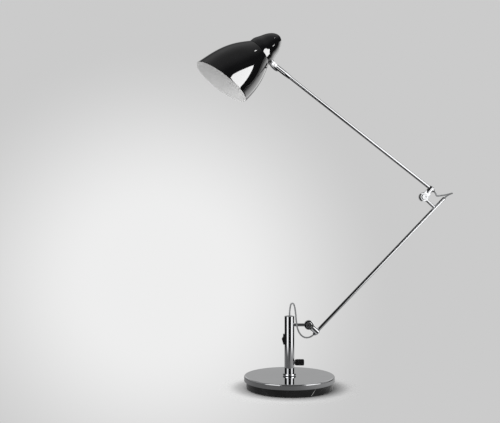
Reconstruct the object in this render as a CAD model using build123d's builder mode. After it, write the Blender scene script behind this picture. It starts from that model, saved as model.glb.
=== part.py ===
"""Folding bedside lamp: a chrome post on a marble base, two jointed arms and a bell shade.

Millimetres. The origin is under the middle of the base, +Z is up, +X points the way the lower arm
leans and -Y faces the viewer. The arms move in planes square to Y.
"""

import os
from math import asin, degrees, pi, radians, sin, tan

from build123d import *

# Base, from the table up.
plate_radius = 75.0
marble_set_in = 3.7
pad_set_in = 9.0
pad_thickness = 1.5
marble_thickness = 11.2
marble_edge = 0.8
plate_thickness = 9.0
plate_top_round = 2.0
plate_bottom_round = 0.8
collar_radius = 11.0
collar_height = 3.6

# Spigot that the post turns on, and its clamp under the marble.
stud_radius = 5.0
stud_spare = 0.6
spigot_height = 44.0
lead_bore_radius = 2.8
nut_across_flats = 16.0
nut_height = 4.6
clamp_washer_radius = 9.5
clamp_washer_thickness = 1.2
clamp_recess_radius = 11.0
cord_bush_radius = 3.6
cord_bush_bore = 2.3
cord_bush_flange = 4.4
cord_bush_flange_depth = 1.4
cord_bush_depth = 9.0

# Post.
post_radius = 8.1
post_wall = 2.0
post_height = 94.4
post_top_round = 0.5
top_bush_height = 5.0
top_bush_recess = 1.0

# Rocker switch on the left of the post.
switch_above_base = 60.0
switch_width = 6.6
rocker_half_length = 6.4
rocker_end = 1.2
rocker_ridge = 4.1
rocker_root = 1.5
rocker_pivot_out = 0.5
rocker_rest_tilt = 9.0
bezel_frame = 1.6
bezel_proud = 2.2
bezel_corner = 1.2
switch_body_gap = 1.4

# Thumbscrew on the right of the post.
thumbscrew_above_base = 21.5
thumbscrew_radius = 2.0
boss_radius = 3.6
boss_proud = 1.2
knob_radius = 5.3
knob_length = 14.8
knob_neck_radius = 4.9
knob_neck_length = 2.0
knob_flute_radius = 0.9
knob_flutes = 16

# Hardware shared by the shoulder and the elbow.
eye_radius = 7.7
eye_thickness = 7.0
eye_chamfer = 0.5
pivot_radius = 2.5
friction_washer_radius = 6.2
friction_washer_thickness = 1.0
screw_head_radius = 5.2
screw_head_height = 3.0
screw_head_chamfer = 0.6
screw_socket_flats = 4.4
screw_socket_depth = 1.8
pivot_nut_flats = 8.0
pivot_nut_height = 4.0

# Arms. Angles are above the horizontal.
rod_radius = 2.75
rod_wall = 0.7
stub_radius = 2.5
tee_radius = 4.5
tee_tongue_radius = 6.4
tee_end_wall = 1.1
tee_end_chamfer = 1.0
rod_past_tee = 0.8
shoulder_below_top = 14.6
shoulder_reach = 32.2
stub_nut_radius = 3.6
stub_nut_depth = 3.9
lower_angle = 46.3
lower_offset = 18.4
lower_span = 285.5
elbow_offset = 26.4
lower_rod_past_stub = 22.0
upper_angle = 38.3
upper_offset = 17.4
upper_span = 328.0
end_bush_flange = 1.0
end_bush_depth = 6.0

# Swivel sleeve and tilt joint at the head end of the upper arm.
sleeve_radius = 4.0
sleeve_length = 15.0
rod_short_of_pivot = 11.0
stop_collar_radius = 3.9
stop_collar_length = 9.5
stop_collar_taper = 4.5
fork_end_radius = 3.2
fork_depth = 6.0
tongue_thickness = 3.0
tilt_pin_radius = 1.5
tilt_pin_head_radius = 2.4
tilt_pin_head_height = 0.8

# Head. Its axis leans up to the right and is swivelled a little towards the viewer.
head_angle = 39.9
head_swivel = 9.4
lug_above_seam = 7.1
lug_reach = 9.6
lug_foot_radius = 3.5
lug_foot_height = 2.4
lug_stem_radius = 1.5
lug_end_radius = 3.0
lug_nut_flats = 5.5
lug_nut_height = 2.4
seam_radius = 24.8
shade_wall = 1.0
bell_length = 81.0
bell_knee = (12.9, 24.5)
bell_belly = (21.6, 55.0)
bell_top_slope = 0.58
bell_mouth_slope = 0.12
mouth_radius = 48.9
mouth_slant = 13.8
cap_wall = 1.0
cap_skirt = 7.0
cap_skirt_slope = 0.15
cap_length = 45.5
cap_shoulder = (3.8, 17.5)
cap_crown = (7.5, 30.5)
holder_bore_in_shade = 14.5
holder_radius = 14.0
holder_skirt = 16.0
holder_flange_radius = 17.5
holder_flange_height = 1.2
holder_body_radius = 10.5
holder_top = 25.0
shade_ring_radius = 18.0
shade_ring_height = 5.0
bracket_width = 8.0
bracket_thickness = 1.2
bracket_upright = 2.4
socket_radius = 7.2
socket_depth = 22.0
bulb_base_length = 20.0
bulb_radius = 21.0
bulb_drop = 24.0
bulb_neck_radius = 8.0
bulb_wall = 0.9

# Leads. The post's route is given from the post's top, the elbow's from the elbow and the head's
# from the seam, along the head's own axes.
lead_radius = 1.3
lead_straight_out = 4.5
post_lead_bends = [
    (1.2, -0.5, 15.0),
    (2.6, -1.1, 21.0),
    (6.6, -2.7, 21.4),
    (8.6, -3.5, 15.8),
    (10.2, -4.3, 4.5),
    (11.1, -5.0, -9.0),
    (13.2, -4.6, -21.5),
    (18.4, -2.4, -31.0),
    (25.0, 1.0, -35.8),
    (31.6, 4.8, -36.6),
]
elbow_lead_bends = [
    (42.6, 7.0, 4.4),
    (46.6, 2.6, 6.2),
    (45.0, -3.4, 6.0),
    (38.8, -7.4, 4.6),
    (31.4, -8.4, 3.0),
    (24.2, -6.6, 2.0),
    (18.8, -3.6, 1.2),
]
head_lead_exit = 8.5
head_lead_bulge = (36.5, 18.5, 7.4)
head_lead_angle = 40.0

# Clearances.
running = 0.1
turning_gap = 0.2
moving_gap = 0.35
snug = 0.05

# Places that follow from the sizes above.
marble_radius = plate_radius - marble_set_in
pad_radius = plate_radius - pad_set_in
marble_top = pad_thickness + marble_thickness
base_top = marble_top + plate_thickness
post_bottom = base_top + collar_height + turning_gap
post_top = post_bottom + post_height
post_bore = post_radius - post_wall
stub_nut_inner_x = post_bore - stub_nut_depth
spigot_radius = post_bore - running
clamp_recess_depth = nut_height + clamp_washer_thickness + stud_spare
switch_z = base_top + switch_above_base
rocker_pivot_x = -post_radius - rocker_pivot_out
screw_z = base_top + thumbscrew_above_base
arm_stagger = eye_thickness + friction_washer_thickness

shoulder_z = post_top - shoulder_below_top
shoulder = Vector(shoulder_reach, 0, shoulder_z)
lower_along = Vector(1, 0, 0).rotate(Axis.Y, -lower_angle)
lower_across = lower_along.rotate(Axis.Y, 90)
lower_foot = shoulder + lower_across * lower_offset + Vector(0, arm_stagger, 0)
elbow_foot = lower_foot + lower_along * lower_span
elbow = elbow_foot - lower_across * elbow_offset - Vector(0, arm_stagger, 0)
upper_along = Vector(-1, 0, 0).rotate(Axis.Y, upper_angle)
upper_across = upper_along.rotate(Axis.Y, 90)
upper_foot = elbow + upper_across * upper_offset
tilt_pivot = upper_foot + upper_along * upper_span

swivel_axis = Axis(tilt_pivot, upper_along)
tilt_axis_dir = Vector(0, 1, 0).rotate(swivel_axis, head_swivel)
head_up = Vector(1, 0, 0).rotate(Axis.Y, -head_angle).rotate(swivel_axis, head_swivel)
head_out = tilt_axis_dir.cross(head_up)
seam_centre = tilt_pivot - head_out * (seam_radius + lug_reach) - head_up * lug_above_seam
head_axis = Axis(seam_centre, head_up)
head_profile = Plane(origin=seam_centre, x_dir=head_out, z_dir=-tilt_axis_dir)


def head_level(height):
    """Plane square to the head's axis, that far above the seam between shade and cap."""
    return Plane(origin=seam_centre + head_up * height, x_dir=head_out, z_dir=head_up)


def facing(point, direction, x_dir=(0, 1, 0)):
    """Plane through a point, square to a direction."""
    return Plane(origin=point, x_dir=x_dir, z_dir=direction)


def ring(plane, outer, inner, height, label):
    """A plain ring or washer that stands on a plane."""
    with BuildPart() as piece:
        with BuildSketch(plane):
            Circle(outer)
            Circle(inner, mode=Mode.SUBTRACT)
        extrude(amount=height)
    piece.part.label = label
    return piece.part


def hex_nut(plane, flats, inner, height, label):
    """A hexagon nut that stands on a plane."""
    with BuildPart() as piece:
        with BuildSketch(plane):
            RegularPolygon(radius=flats / 2, side_count=6, major_radius=False)
            Circle(inner, mode=Mode.SUBTRACT)
        extrude(amount=height)
    piece.part.label = label
    return piece.part


parts = []

# Felt pad under the marble.
with BuildPart() as base_pad:
    with BuildSketch():
        Circle(pad_radius)
    extrude(amount=pad_thickness)
base_pad.part.label = "base_pad"
parts.append(base_pad.part)

# Marble disc with a clamp recess below, a hole for the stud and a cord way out at the back.
cord_way_z = pad_thickness + marble_thickness / 2
cord_bush_inner_y = marble_radius + cord_bush_flange_depth - cord_bush_depth
with BuildPart() as marble_disc:
    with BuildSketch(Plane.XY.offset(pad_thickness)):
        Circle(marble_radius)
    extrude(amount=marble_thickness)
    fillet(marble_disc.edges().filter_by(GeomType.CIRCLE), radius=marble_edge)
    with BuildSketch(Plane.XY.offset(pad_thickness)):
        Circle(clamp_recess_radius)
    extrude(amount=clamp_recess_depth, mode=Mode.SUBTRACT)
    with BuildSketch(Plane.XY.offset(pad_thickness)):
        Circle(stud_radius + snug)
    extrude(amount=marble_thickness, mode=Mode.SUBTRACT)
    with BuildSketch(Plane(origin=(0, clamp_recess_radius / 2, cord_way_z), z_dir=(0, 1, 0))):
        Circle(lead_bore_radius)
    extrude(amount=marble_radius, mode=Mode.SUBTRACT)
    with BuildSketch(Plane(origin=(0, cord_bush_inner_y, cord_way_z), z_dir=(0, 1, 0))):
        Circle(cord_bush_radius)
    extrude(amount=cord_bush_depth, mode=Mode.SUBTRACT)
marble_disc.part.label = "marble_disc"
parts.append(marble_disc.part)

# Bush that guards the cord where it leaves the marble.
with BuildPart() as cord_bush:
    with BuildSketch(Plane(origin=(0, cord_bush_inner_y, cord_way_z), z_dir=(0, 1, 0))):
        Circle(cord_bush_radius)
        Circle(cord_bush_bore, mode=Mode.SUBTRACT)
    extrude(amount=cord_bush_depth - cord_bush_flange_depth)
    with BuildSketch(Plane(origin=(0, marble_radius, cord_way_z), z_dir=(0, 1, 0))):
        Circle(cord_bush_flange)
        Circle(cord_bush_bore, mode=Mode.SUBTRACT)
    extrude(amount=cord_bush_flange_depth)
cord_bush.part.label = "cord_bush"
parts.append(cord_bush.part)

# Chrome plate with a rounded rim.
with BuildPart() as base_plate:
    with BuildSketch(Plane.XY.offset(marble_top)):
        Circle(plate_radius)
    extrude(amount=plate_thickness)
    rims = base_plate.edges().filter_by(GeomType.CIRCLE).sort_by(Axis.Z)
    fillet(rims[-1], radius=plate_top_round)
    rims = base_plate.edges().filter_by(GeomType.CIRCLE).sort_by(Axis.Z)
    fillet(rims[0], radius=plate_bottom_round)
    with BuildSketch(Plane.XY.offset(marble_top)):
        Circle(stud_radius + snug)
    extrude(amount=plate_thickness, mode=Mode.SUBTRACT)
base_plate.part.label = "base_plate"
parts.append(base_plate.part)

# Spigot: a threaded stud through the base, with the bearing that the post turns on above it.
stud_bottom = pad_thickness
with BuildPart() as post_spigot:
    with BuildSketch(Plane.XY.offset(stud_bottom)):
        Circle(stud_radius)
    extrude(amount=base_top - stud_bottom)
    with BuildSketch(Plane.XY.offset(base_top)):
        Circle(spigot_radius)
    extrude(amount=spigot_height)
    with BuildSketch(Plane.XY.offset(stud_bottom)):
        Circle(lead_bore_radius)
    extrude(amount=base_top + spigot_height, mode=Mode.SUBTRACT)
post_spigot.part.label = "post_spigot"
parts.append(post_spigot.part)

clamp_washer_z = pad_thickness + clamp_recess_depth - clamp_washer_thickness
parts.append(
    ring(
        Plane.XY.offset(clamp_washer_z),
        clamp_washer_radius,
        stud_radius + snug,
        clamp_washer_thickness,
        "spigot_washer",
    )
)
parts.append(
    hex_nut(
        Plane.XY.offset(clamp_washer_z - nut_height),
        nut_across_flats,
        stud_radius + snug,
        nut_height,
        "spigot_nut",
    )
)

# Collar: a ring with a half-round edge round the foot of the post.
with BuildPart() as post_collar:
    with BuildSketch(Plane.XZ):
        with BuildLine():
            Polyline(
                (collar_radius - collar_height / 2, base_top),
                (spigot_radius + snug, base_top),
                (spigot_radius + snug, base_top + collar_height),
                (collar_radius - collar_height / 2, base_top + collar_height),
            )
            ThreePointArc(
                (collar_radius - collar_height / 2, base_top + collar_height),
                (collar_radius, base_top + collar_height / 2),
                (collar_radius - collar_height / 2, base_top),
            )
        make_face()
    revolve(axis=Axis.Z)
post_collar.part.label = "post_collar"
parts.append(post_collar.part)

# Post tube, with the switch window, the boss hole and the stub hole.
window_width = switch_width + 2 * moving_gap
window_length = 2 * (rocker_half_length**2 + rocker_end**2) ** 0.5 + 2 * moving_gap
with BuildPart() as post_tube:
    with BuildSketch(Plane.XY.offset(post_bottom)):
        Circle(post_radius)
        Circle(post_bore, mode=Mode.SUBTRACT)
    extrude(amount=post_height)
    top_rims = post_tube.edges().filter_by(GeomType.CIRCLE).group_by(Axis.Z)[-1]
    fillet(top_rims.sort_by(SortBy.RADIUS)[-1], radius=post_top_round)
    with BuildSketch(Plane(origin=(0, 0, switch_z), x_dir=(0, 1, 0), z_dir=(-1, 0, 0))):
        Rectangle(window_width, window_length)
    extrude(amount=2 * post_radius, mode=Mode.SUBTRACT)
    with BuildSketch(Plane(origin=(0, 0, screw_z), x_dir=(0, 1, 0), z_dir=(1, 0, 0))):
        Circle(thumbscrew_radius + running)
    extrude(amount=2 * post_radius, mode=Mode.SUBTRACT)
    with BuildSketch(Plane(origin=(0, 0, shoulder_z), x_dir=(0, 1, 0), z_dir=(1, 0, 0))):
        Circle(stub_radius)
    extrude(amount=2 * post_radius, mode=Mode.SUBTRACT)
post_tube.part.label = "post_tube"
parts.append(post_tube.part)

# Bush in the top of the post, which guides the lead.
top_bush_z = post_top - top_bush_recess - top_bush_height
parts.append(
    ring(Plane.XY.offset(top_bush_z), post_bore, lead_radius + snug, top_bush_height, "post_top_bush")
)

# Switch bezel: a frame with a hollow back that sits on the round post.
bezel_face_x = -post_radius - bezel_proud
with BuildPart() as switch_bezel:
    with BuildSketch(Plane(origin=(bezel_face_x, 0, switch_z), x_dir=(0, 1, 0), z_dir=(1, 0, 0))):
        RectangleRounded(window_width + 2 * bezel_frame, window_length + 2 * bezel_frame, bezel_corner)
        Rectangle(window_width, window_length, mode=Mode.SUBTRACT)
    extrude(amount=post_radius)
    with BuildSketch(Plane.XY.offset(post_bottom)):
        Circle(post_radius)
    extrude(amount=post_height, mode=Mode.SUBTRACT)
switch_bezel.part.label = "switch_bezel"
parts.append(switch_bezel.part)

# Rocker: two facets that meet in a ridge, on a pivot across the post, resting with its lower end out.
rocker_out = Vector(-1, 0, 0).rotate(Axis.Y, rocker_rest_tilt)
rocker_plane = Plane(origin=(rocker_pivot_x, 0, switch_z), x_dir=rocker_out, z_dir=(0, 1, 0))
with BuildPart() as switch_rocker:
    with BuildSketch(rocker_plane):
        with BuildLine():
            Polyline(
                (-rocker_root, -rocker_half_length),
                (rocker_end, -rocker_half_length),
                (rocker_ridge, 0),
                (rocker_end, rocker_half_length),
                (-rocker_root, rocker_half_length),
                close=True,
            )
        make_face()
    extrude(amount=switch_width / 2, both=True)
switch_rocker.part.label = "switch_rocker"
parts.append(switch_rocker.part)

# Switch body inside the post, from just behind the rocker to short of the stub's nut.
rocker_sweep_in = rocker_root + rocker_half_length * sin(radians(rocker_rest_tilt))
switch_body_x = rocker_pivot_x + rocker_sweep_in + switch_body_gap
with BuildPart() as switch_body:
    with BuildSketch(Plane(origin=(switch_body_x, 0, switch_z), x_dir=(0, 1, 0), z_dir=(1, 0, 0))):
        Rectangle(switch_width, window_length - 2 * snug)
    extrude(amount=stub_nut_inner_x - turning_gap - switch_body_x)
switch_body.part.label = "switch_body"
parts.append(switch_body.part)

# Threaded boss outside the post, the thumbscrew's shank and its fluted knob.
boss_face_x = post_radius + boss_proud
knob_x = boss_face_x + turning_gap
with BuildPart() as screw_boss:
    with BuildSketch(Plane(origin=(0, 0, screw_z), x_dir=(0, 1, 0), z_dir=(1, 0, 0))):
        Circle(boss_radius)
        Circle(thumbscrew_radius + running, mode=Mode.SUBTRACT)
    extrude(amount=boss_face_x)
    with BuildSketch(Plane.XY.offset(post_bottom)):
        Circle(post_radius)
    extrude(amount=post_height, mode=Mode.SUBTRACT)
screw_boss.part.label = "screw_boss"
parts.append(screw_boss.part)

shank_tip_x = spigot_radius + turning_gap
shank_seat_x = knob_x + knob_length / 2
with BuildPart() as thumbscrew_shank:
    with BuildSketch(Plane(origin=(shank_tip_x, 0, screw_z), x_dir=(0, 1, 0), z_dir=(1, 0, 0))):
        Circle(thumbscrew_radius)
    extrude(amount=shank_seat_x - shank_tip_x)
thumbscrew_shank.part.label = "thumbscrew_shank"
parts.append(thumbscrew_shank.part)

knob_plane = Plane(origin=(knob_x, 0, screw_z), x_dir=(0, 1, 0), z_dir=(1, 0, 0))
with BuildPart() as thumbscrew_knob:
    with BuildSketch(knob_plane):
        Circle(knob_neck_radius)
    extrude(amount=knob_neck_length)
    with BuildSketch(knob_plane.offset(knob_neck_length)):
        Circle(knob_radius)
        with PolarLocations(knob_radius + knob_flute_radius / 2, knob_flutes):
            Circle(knob_flute_radius, mode=Mode.SUBTRACT)
    extrude(amount=knob_length - knob_neck_length)
    with BuildSketch(knob_plane):
        Circle(thumbscrew_radius)
    extrude(amount=shank_seat_x - knob_x, mode=Mode.SUBTRACT)
thumbscrew_knob.part.label = "thumbscrew_knob"
parts.append(thumbscrew_knob.part)


def stub_with_eye(eye_centre, towards, length):
    """A bar that starts at an eye, which is square to Y, and runs for a length in a direction."""
    eye_plane = Plane(origin=eye_centre, x_dir=(1, 0, 0), z_dir=(0, 1, 0))
    with BuildPart() as piece:
        with BuildSketch(eye_plane):
            Circle(eye_radius)
        extrude(amount=eye_thickness / 2, both=True)
        chamfer(piece.edges().filter_by(GeomType.CIRCLE), length=eye_chamfer)
        with BuildSketch(facing(eye_centre, towards)):
            Circle(stub_radius)
        extrude(amount=length)
        with BuildSketch(eye_plane):
            Circle(pivot_radius + snug)
        extrude(amount=eye_thickness, both=True, mode=Mode.SUBTRACT)
    return piece.part


def tee_block(pivot, across, offset, along, label):
    """A round block with a flat tongue at the pivot and a cross hole for the rod, which it carries."""
    pivot_plane = Plane(origin=pivot, x_dir=(1, 0, 0), z_dir=(0, 1, 0))
    neck = eye_radius + moving_gap
    body_length = offset + rod_radius + tee_end_wall - neck
    with BuildPart() as piece:
        with BuildSketch(facing(pivot + across * neck, across)):
            Circle(tee_radius)
        extrude(amount=body_length)
        far_rim = piece.edges().filter_by(GeomType.CIRCLE).sort_by_distance(pivot)[-1]
        chamfer(far_rim, length=tee_end_chamfer)
        with BuildSketch(pivot_plane):
            Circle(tee_tongue_radius)
        extrude(amount=eye_thickness / 2, both=True)
        with BuildSketch(facing(pivot, across)):
            Rectangle(eye_thickness, 2 * tee_radius)
        extrude(amount=neck + tee_radius / 2)
        with BuildSketch(pivot_plane):
            Circle(pivot_radius + snug)
        extrude(amount=eye_thickness, both=True, mode=Mode.SUBTRACT)
        with BuildSketch(facing(pivot + across * offset, along)):
            Circle(rod_radius)
        extrude(amount=3 * tee_radius, both=True, mode=Mode.SUBTRACT)
    piece.part.label = label
    return piece.part


def pivot_set(centre, head_gap, nut_gap, name):
    """The screw, washer and nut of a pivot whose front plate is centred on a point."""
    front = centre - Vector(0, eye_thickness / 2, 0)
    between = centre + Vector(0, eye_thickness / 2, 0)
    back = between + Vector(0, friction_washer_thickness + eye_thickness, 0)
    head_seat = front - Vector(0, head_gap, 0)
    nut_seat = back + Vector(0, nut_gap, 0)
    shank = nut_seat.Y + pivot_nut_height - head_seat.Y
    with BuildPart() as screw:
        with BuildSketch(Plane(origin=head_seat, z_dir=(0, -1, 0))):
            Circle(screw_head_radius)
        extrude(amount=screw_head_height)
        crown = screw.edges().filter_by(GeomType.CIRCLE).sort_by(Axis.Y)[0]
        chamfer(crown, length=screw_head_chamfer)
        with BuildSketch(Plane(origin=head_seat - Vector(0, screw_head_height, 0), z_dir=(0, 1, 0))):
            RegularPolygon(radius=screw_socket_flats / 2, side_count=6, major_radius=False)
        extrude(amount=screw_socket_depth, mode=Mode.SUBTRACT)
        with BuildSketch(Plane(origin=head_seat, z_dir=(0, 1, 0))):
            Circle(pivot_radius)
        extrude(amount=shank)
    screw.part.label = f"{name}_screw"
    washer = ring(
        Plane(origin=between, z_dir=(0, 1, 0)),
        friction_washer_radius,
        pivot_radius + snug,
        friction_washer_thickness,
        f"{name}_washer",
    )
    nut = hex_nut(
        Plane(origin=nut_seat, z_dir=(0, 1, 0)),
        pivot_nut_flats,
        pivot_radius + snug,
        pivot_nut_height,
        f"{name}_nut",
    )
    return [screw.part, washer, nut]


def rod_tube(start, along, length, label):
    """A round tube that starts at a point."""
    return ring(facing(start, along), rod_radius, rod_radius - rod_wall, length, label)


def end_bush(mouth, outward, label):
    """A flanged bush in the open end of a rod, which guides the lead out."""
    bore = rod_radius - rod_wall
    with BuildPart() as piece:
        with BuildSketch(facing(mouth, outward)):
            Circle(rod_radius)
            Circle(lead_radius + snug, mode=Mode.SUBTRACT)
        extrude(amount=end_bush_flange)
        with BuildSketch(facing(mouth, outward)):
            Circle(bore)
            Circle(lead_radius + snug, mode=Mode.SUBTRACT)
        extrude(amount=-end_bush_depth)
    piece.part.label = label
    return piece.part


# Shoulder stub through the post's wall, and the nut that holds it from inside.
shoulder_stub = stub_with_eye(shoulder, Vector(-1, 0, 0), shoulder_reach - stub_nut_inner_x)
shoulder_stub.label = "shoulder_stub"
parts.append(shoulder_stub)
with BuildPart() as stub_nut:
    with BuildSketch(Plane(origin=(stub_nut_inner_x, 0, shoulder_z), x_dir=(0, 1, 0), z_dir=(1, 0, 0))):
        Circle(stub_nut_radius)
        Circle(stub_radius + snug, mode=Mode.SUBTRACT)
    extrude(amount=post_wall + stub_nut_depth)
    with BuildSketch(Plane.XY.offset(post_bottom)):
        Circle(post_bore)
    extrude(amount=post_height, mode=Mode.INTERSECT)
stub_nut.part.label = "stub_nut"
parts.append(stub_nut.part)
parts.extend(pivot_set(shoulder, 0, running, "shoulder"))

# Lower arm.
lower_start = lower_foot - lower_along * (tee_radius + rod_past_tee)
lower_end = elbow_foot + lower_along * lower_rod_past_stub
parts.append(
    tee_block(
        shoulder + Vector(0, arm_stagger, 0), lower_across, lower_offset, lower_along, "lower_tee"
    )
)
parts.append(rod_tube(lower_start, lower_along, (lower_end - lower_start).length, "lower_rod"))
parts.append(end_bush(lower_start, -lower_along, "lower_rod_foot_bush"))
parts.append(end_bush(lower_end, lower_along, "lower_rod_top_bush"))
elbow_bar = stub_with_eye(elbow + Vector(0, arm_stagger, 0), lower_across, elbow_offset)
with BuildPart() as elbow_stub:
    add(elbow_bar)
    with BuildSketch(facing(elbow_foot, lower_along)):
        Circle(rod_radius)
    extrude(amount=elbow_offset, both=True, mode=Mode.SUBTRACT)
elbow_stub.part.label = "elbow_stub"
parts.append(elbow_stub.part)
parts.extend(pivot_set(elbow, running, 0, "elbow"))

# Upper arm.
upper_start = upper_foot - upper_along * (tee_radius + rod_past_tee)
upper_end = tilt_pivot - upper_along * rod_short_of_pivot
parts.append(tee_block(elbow, upper_across, upper_offset, upper_along, "upper_tee"))
parts.append(rod_tube(upper_start, upper_along, (upper_end - upper_start).length, "upper_rod"))
parts.append(end_bush(upper_start, -upper_along, "upper_rod_bush"))

# Swivel sleeve: a ferrule on the rod's end with a fork for the head's tongue.
fork_slot = tongue_thickness + 2 * running
sleeve_mouth = tilt_pivot - upper_along * (fork_depth + sleeve_length)
sleeve_plane = Plane(origin=sleeve_mouth, x_dir=tilt_axis_dir, z_dir=upper_along)
head_lead_start = tilt_pivot - upper_along * head_lead_exit
fork_plane = Plane(origin=tilt_pivot, x_dir=upper_along, z_dir=tilt_axis_dir)
with BuildPart() as swivel_sleeve:
    with BuildSketch(sleeve_plane):
        Circle(sleeve_radius)
    extrude(amount=sleeve_length + fork_depth + fork_end_radius)
    with BuildSketch(fork_plane):
        with Locations((-(sleeve_length + fork_depth) / 2, 0)):
            Rectangle(sleeve_length + fork_depth, 2 * sleeve_radius)
        Circle(fork_end_radius)
    extrude(amount=sleeve_radius, both=True, mode=Mode.INTERSECT)
    with BuildSketch(sleeve_plane.offset(sleeve_length)):
        Rectangle(fork_slot, 3 * sleeve_radius)
    extrude(amount=fork_depth + 2 * fork_end_radius, mode=Mode.SUBTRACT)
    with BuildSketch(fork_plane):
        Circle(tilt_pin_radius + snug)
    extrude(amount=2 * sleeve_radius, both=True, mode=Mode.SUBTRACT)
    with BuildSketch(sleeve_plane):
        Circle(rod_radius + running)
    extrude(amount=sleeve_length + fork_depth - rod_short_of_pivot + turning_gap, mode=Mode.SUBTRACT)
    with BuildSketch(sleeve_plane):
        Circle(lead_radius + running)
    extrude(amount=sleeve_length + fork_depth - head_lead_exit, mode=Mode.SUBTRACT)
    with BuildSketch(facing(head_lead_start, tilt_axis_dir, upper_along)):
        Circle(lead_radius + running)
    extrude(amount=2 * sleeve_radius, mode=Mode.SUBTRACT)
swivel_sleeve.part.label = "swivel_sleeve"
parts.append(swivel_sleeve.part)

# Stop collar on the rod just below the sleeve, tapering down the rod.
stop_collar_plane = facing(sleeve_mouth - upper_along * turning_gap, -upper_along)
with BuildPart() as stop_collar:
    with BuildSketch(stop_collar_plane):
        Circle(stop_collar_radius)
    extrude(amount=stop_collar_length, taper=stop_collar_taper)
    with BuildSketch(stop_collar_plane):
        Circle(rod_radius)
    extrude(amount=stop_collar_length, mode=Mode.SUBTRACT)
stop_collar.part.label = "stop_collar"
parts.append(stop_collar.part)

# Tilt pin with a flat head at each end.
with BuildPart() as tilt_pin:
    with BuildSketch(fork_plane):
        Circle(tilt_pin_radius)
    extrude(amount=sleeve_radius, both=True)
    for side in (1, -1):
        with BuildSketch(fork_plane.offset(side * sleeve_radius)):
            Circle(tilt_pin_head_radius)
        extrude(amount=side * tilt_pin_head_height)
tilt_pin.part.label = "tilt_pin"
parts.append(tilt_pin.part)


def bell_outline(inset):
    """Half outline of the bell, set in from its outer face, from the seam to past the mouth."""
    flare = (mouth_radius - seam_radius - bell_belly[0]) / (bell_length - bell_belly[1])
    past = bell_length + shade_wall + 2 * mouth_radius * tan(radians(mouth_slant))
    return [
        (seam_radius - inset, 0),
        (seam_radius + bell_knee[0] - inset, -bell_knee[1]),
        (seam_radius + bell_belly[0] - inset, -bell_belly[1]),
        (mouth_radius + flare * (past - bell_length) - inset, -past),
    ]


def bell_solid(inset, top):
    """The bell as a full turned solid, set in from its outer face."""
    outline = bell_outline(inset)
    with BuildPart() as piece:
        with BuildSketch(head_profile):
            with BuildLine():
                curve = Spline(*outline, tangents=[(bell_top_slope, -1), (bell_mouth_slope, -1)])
                Polyline(curve @ 1, (0, outline[-1][1]), (0, 0), curve @ 0)
            make_face()
        revolve(axis=head_axis)
        with BuildSketch(head_level(top)):
            Circle(2 * mouth_radius)
        extrude(amount=-2 * bell_length, mode=Mode.INTERSECT)
    return piece.part


# Bell shade: a spun shell with a flat top for the lamp holder and a slanted mouth.
mouth_plane = Plane(
    origin=seam_centre - head_up * bell_length,
    x_dir=tilt_axis_dir,
    z_dir=head_up.rotate(Axis(seam_centre, tilt_axis_dir), -mouth_slant),
)
bell_outer = bell_solid(0, 0)
bell_inner = bell_solid(shade_wall, -shade_wall)
with BuildPart() as shade:
    add(bell_outer)
    add(bell_inner, mode=Mode.SUBTRACT)
    with BuildSketch(head_level(0)):
        Circle(holder_bore_in_shade)
    extrude(amount=-3 * shade_wall, mode=Mode.SUBTRACT)
    split(bisect_by=mouth_plane, keep=Keep.TOP)
shade.part.label = "shade"
parts.append(shade.part)


def cap_solid(inset, bottom):
    """The domed cap as a full turned solid, set in from its outer face."""
    with BuildPart() as piece:
        with BuildSketch(head_profile):
            with BuildLine():
                skirt = Line((seam_radius - inset, bottom), (seam_radius - inset, cap_skirt))
                crown = Spline(
                    skirt @ 1,
                    (seam_radius - cap_shoulder[0] - inset, cap_shoulder[1]),
                    (seam_radius - cap_crown[0] - inset, cap_crown[1]),
                    (0, cap_length - inset),
                    tangents=[(-cap_skirt_slope, 1), (-1, 0)],
                )
                Polyline(crown @ 1, (0, bottom), skirt @ 0)
            make_face()
        revolve(axis=head_axis)
    return piece.part


# Domed cap over the lamp holder, with holes for the lug's stem and the lead.
lug_axis_point = seam_centre + head_up * lug_above_seam
lead_hole_dir = head_out.rotate(head_axis, head_lead_angle)
cap_outer = cap_solid(0, 0)
cap_inner = cap_solid(cap_wall, -cap_wall)
with BuildPart() as cap:
    add(cap_outer)
    add(cap_inner, mode=Mode.SUBTRACT)
    with BuildSketch(facing(lug_axis_point, head_out, tilt_axis_dir)):
        Circle(lug_stem_radius + snug)
    extrude(amount=2 * seam_radius, mode=Mode.SUBTRACT)
    with BuildSketch(facing(lug_axis_point, lead_hole_dir, head_up)):
        Circle(lead_radius + running)
    extrude(amount=2 * seam_radius, mode=Mode.SUBTRACT)
cap.part.label = "cap"
parts.append(cap.part)

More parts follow.
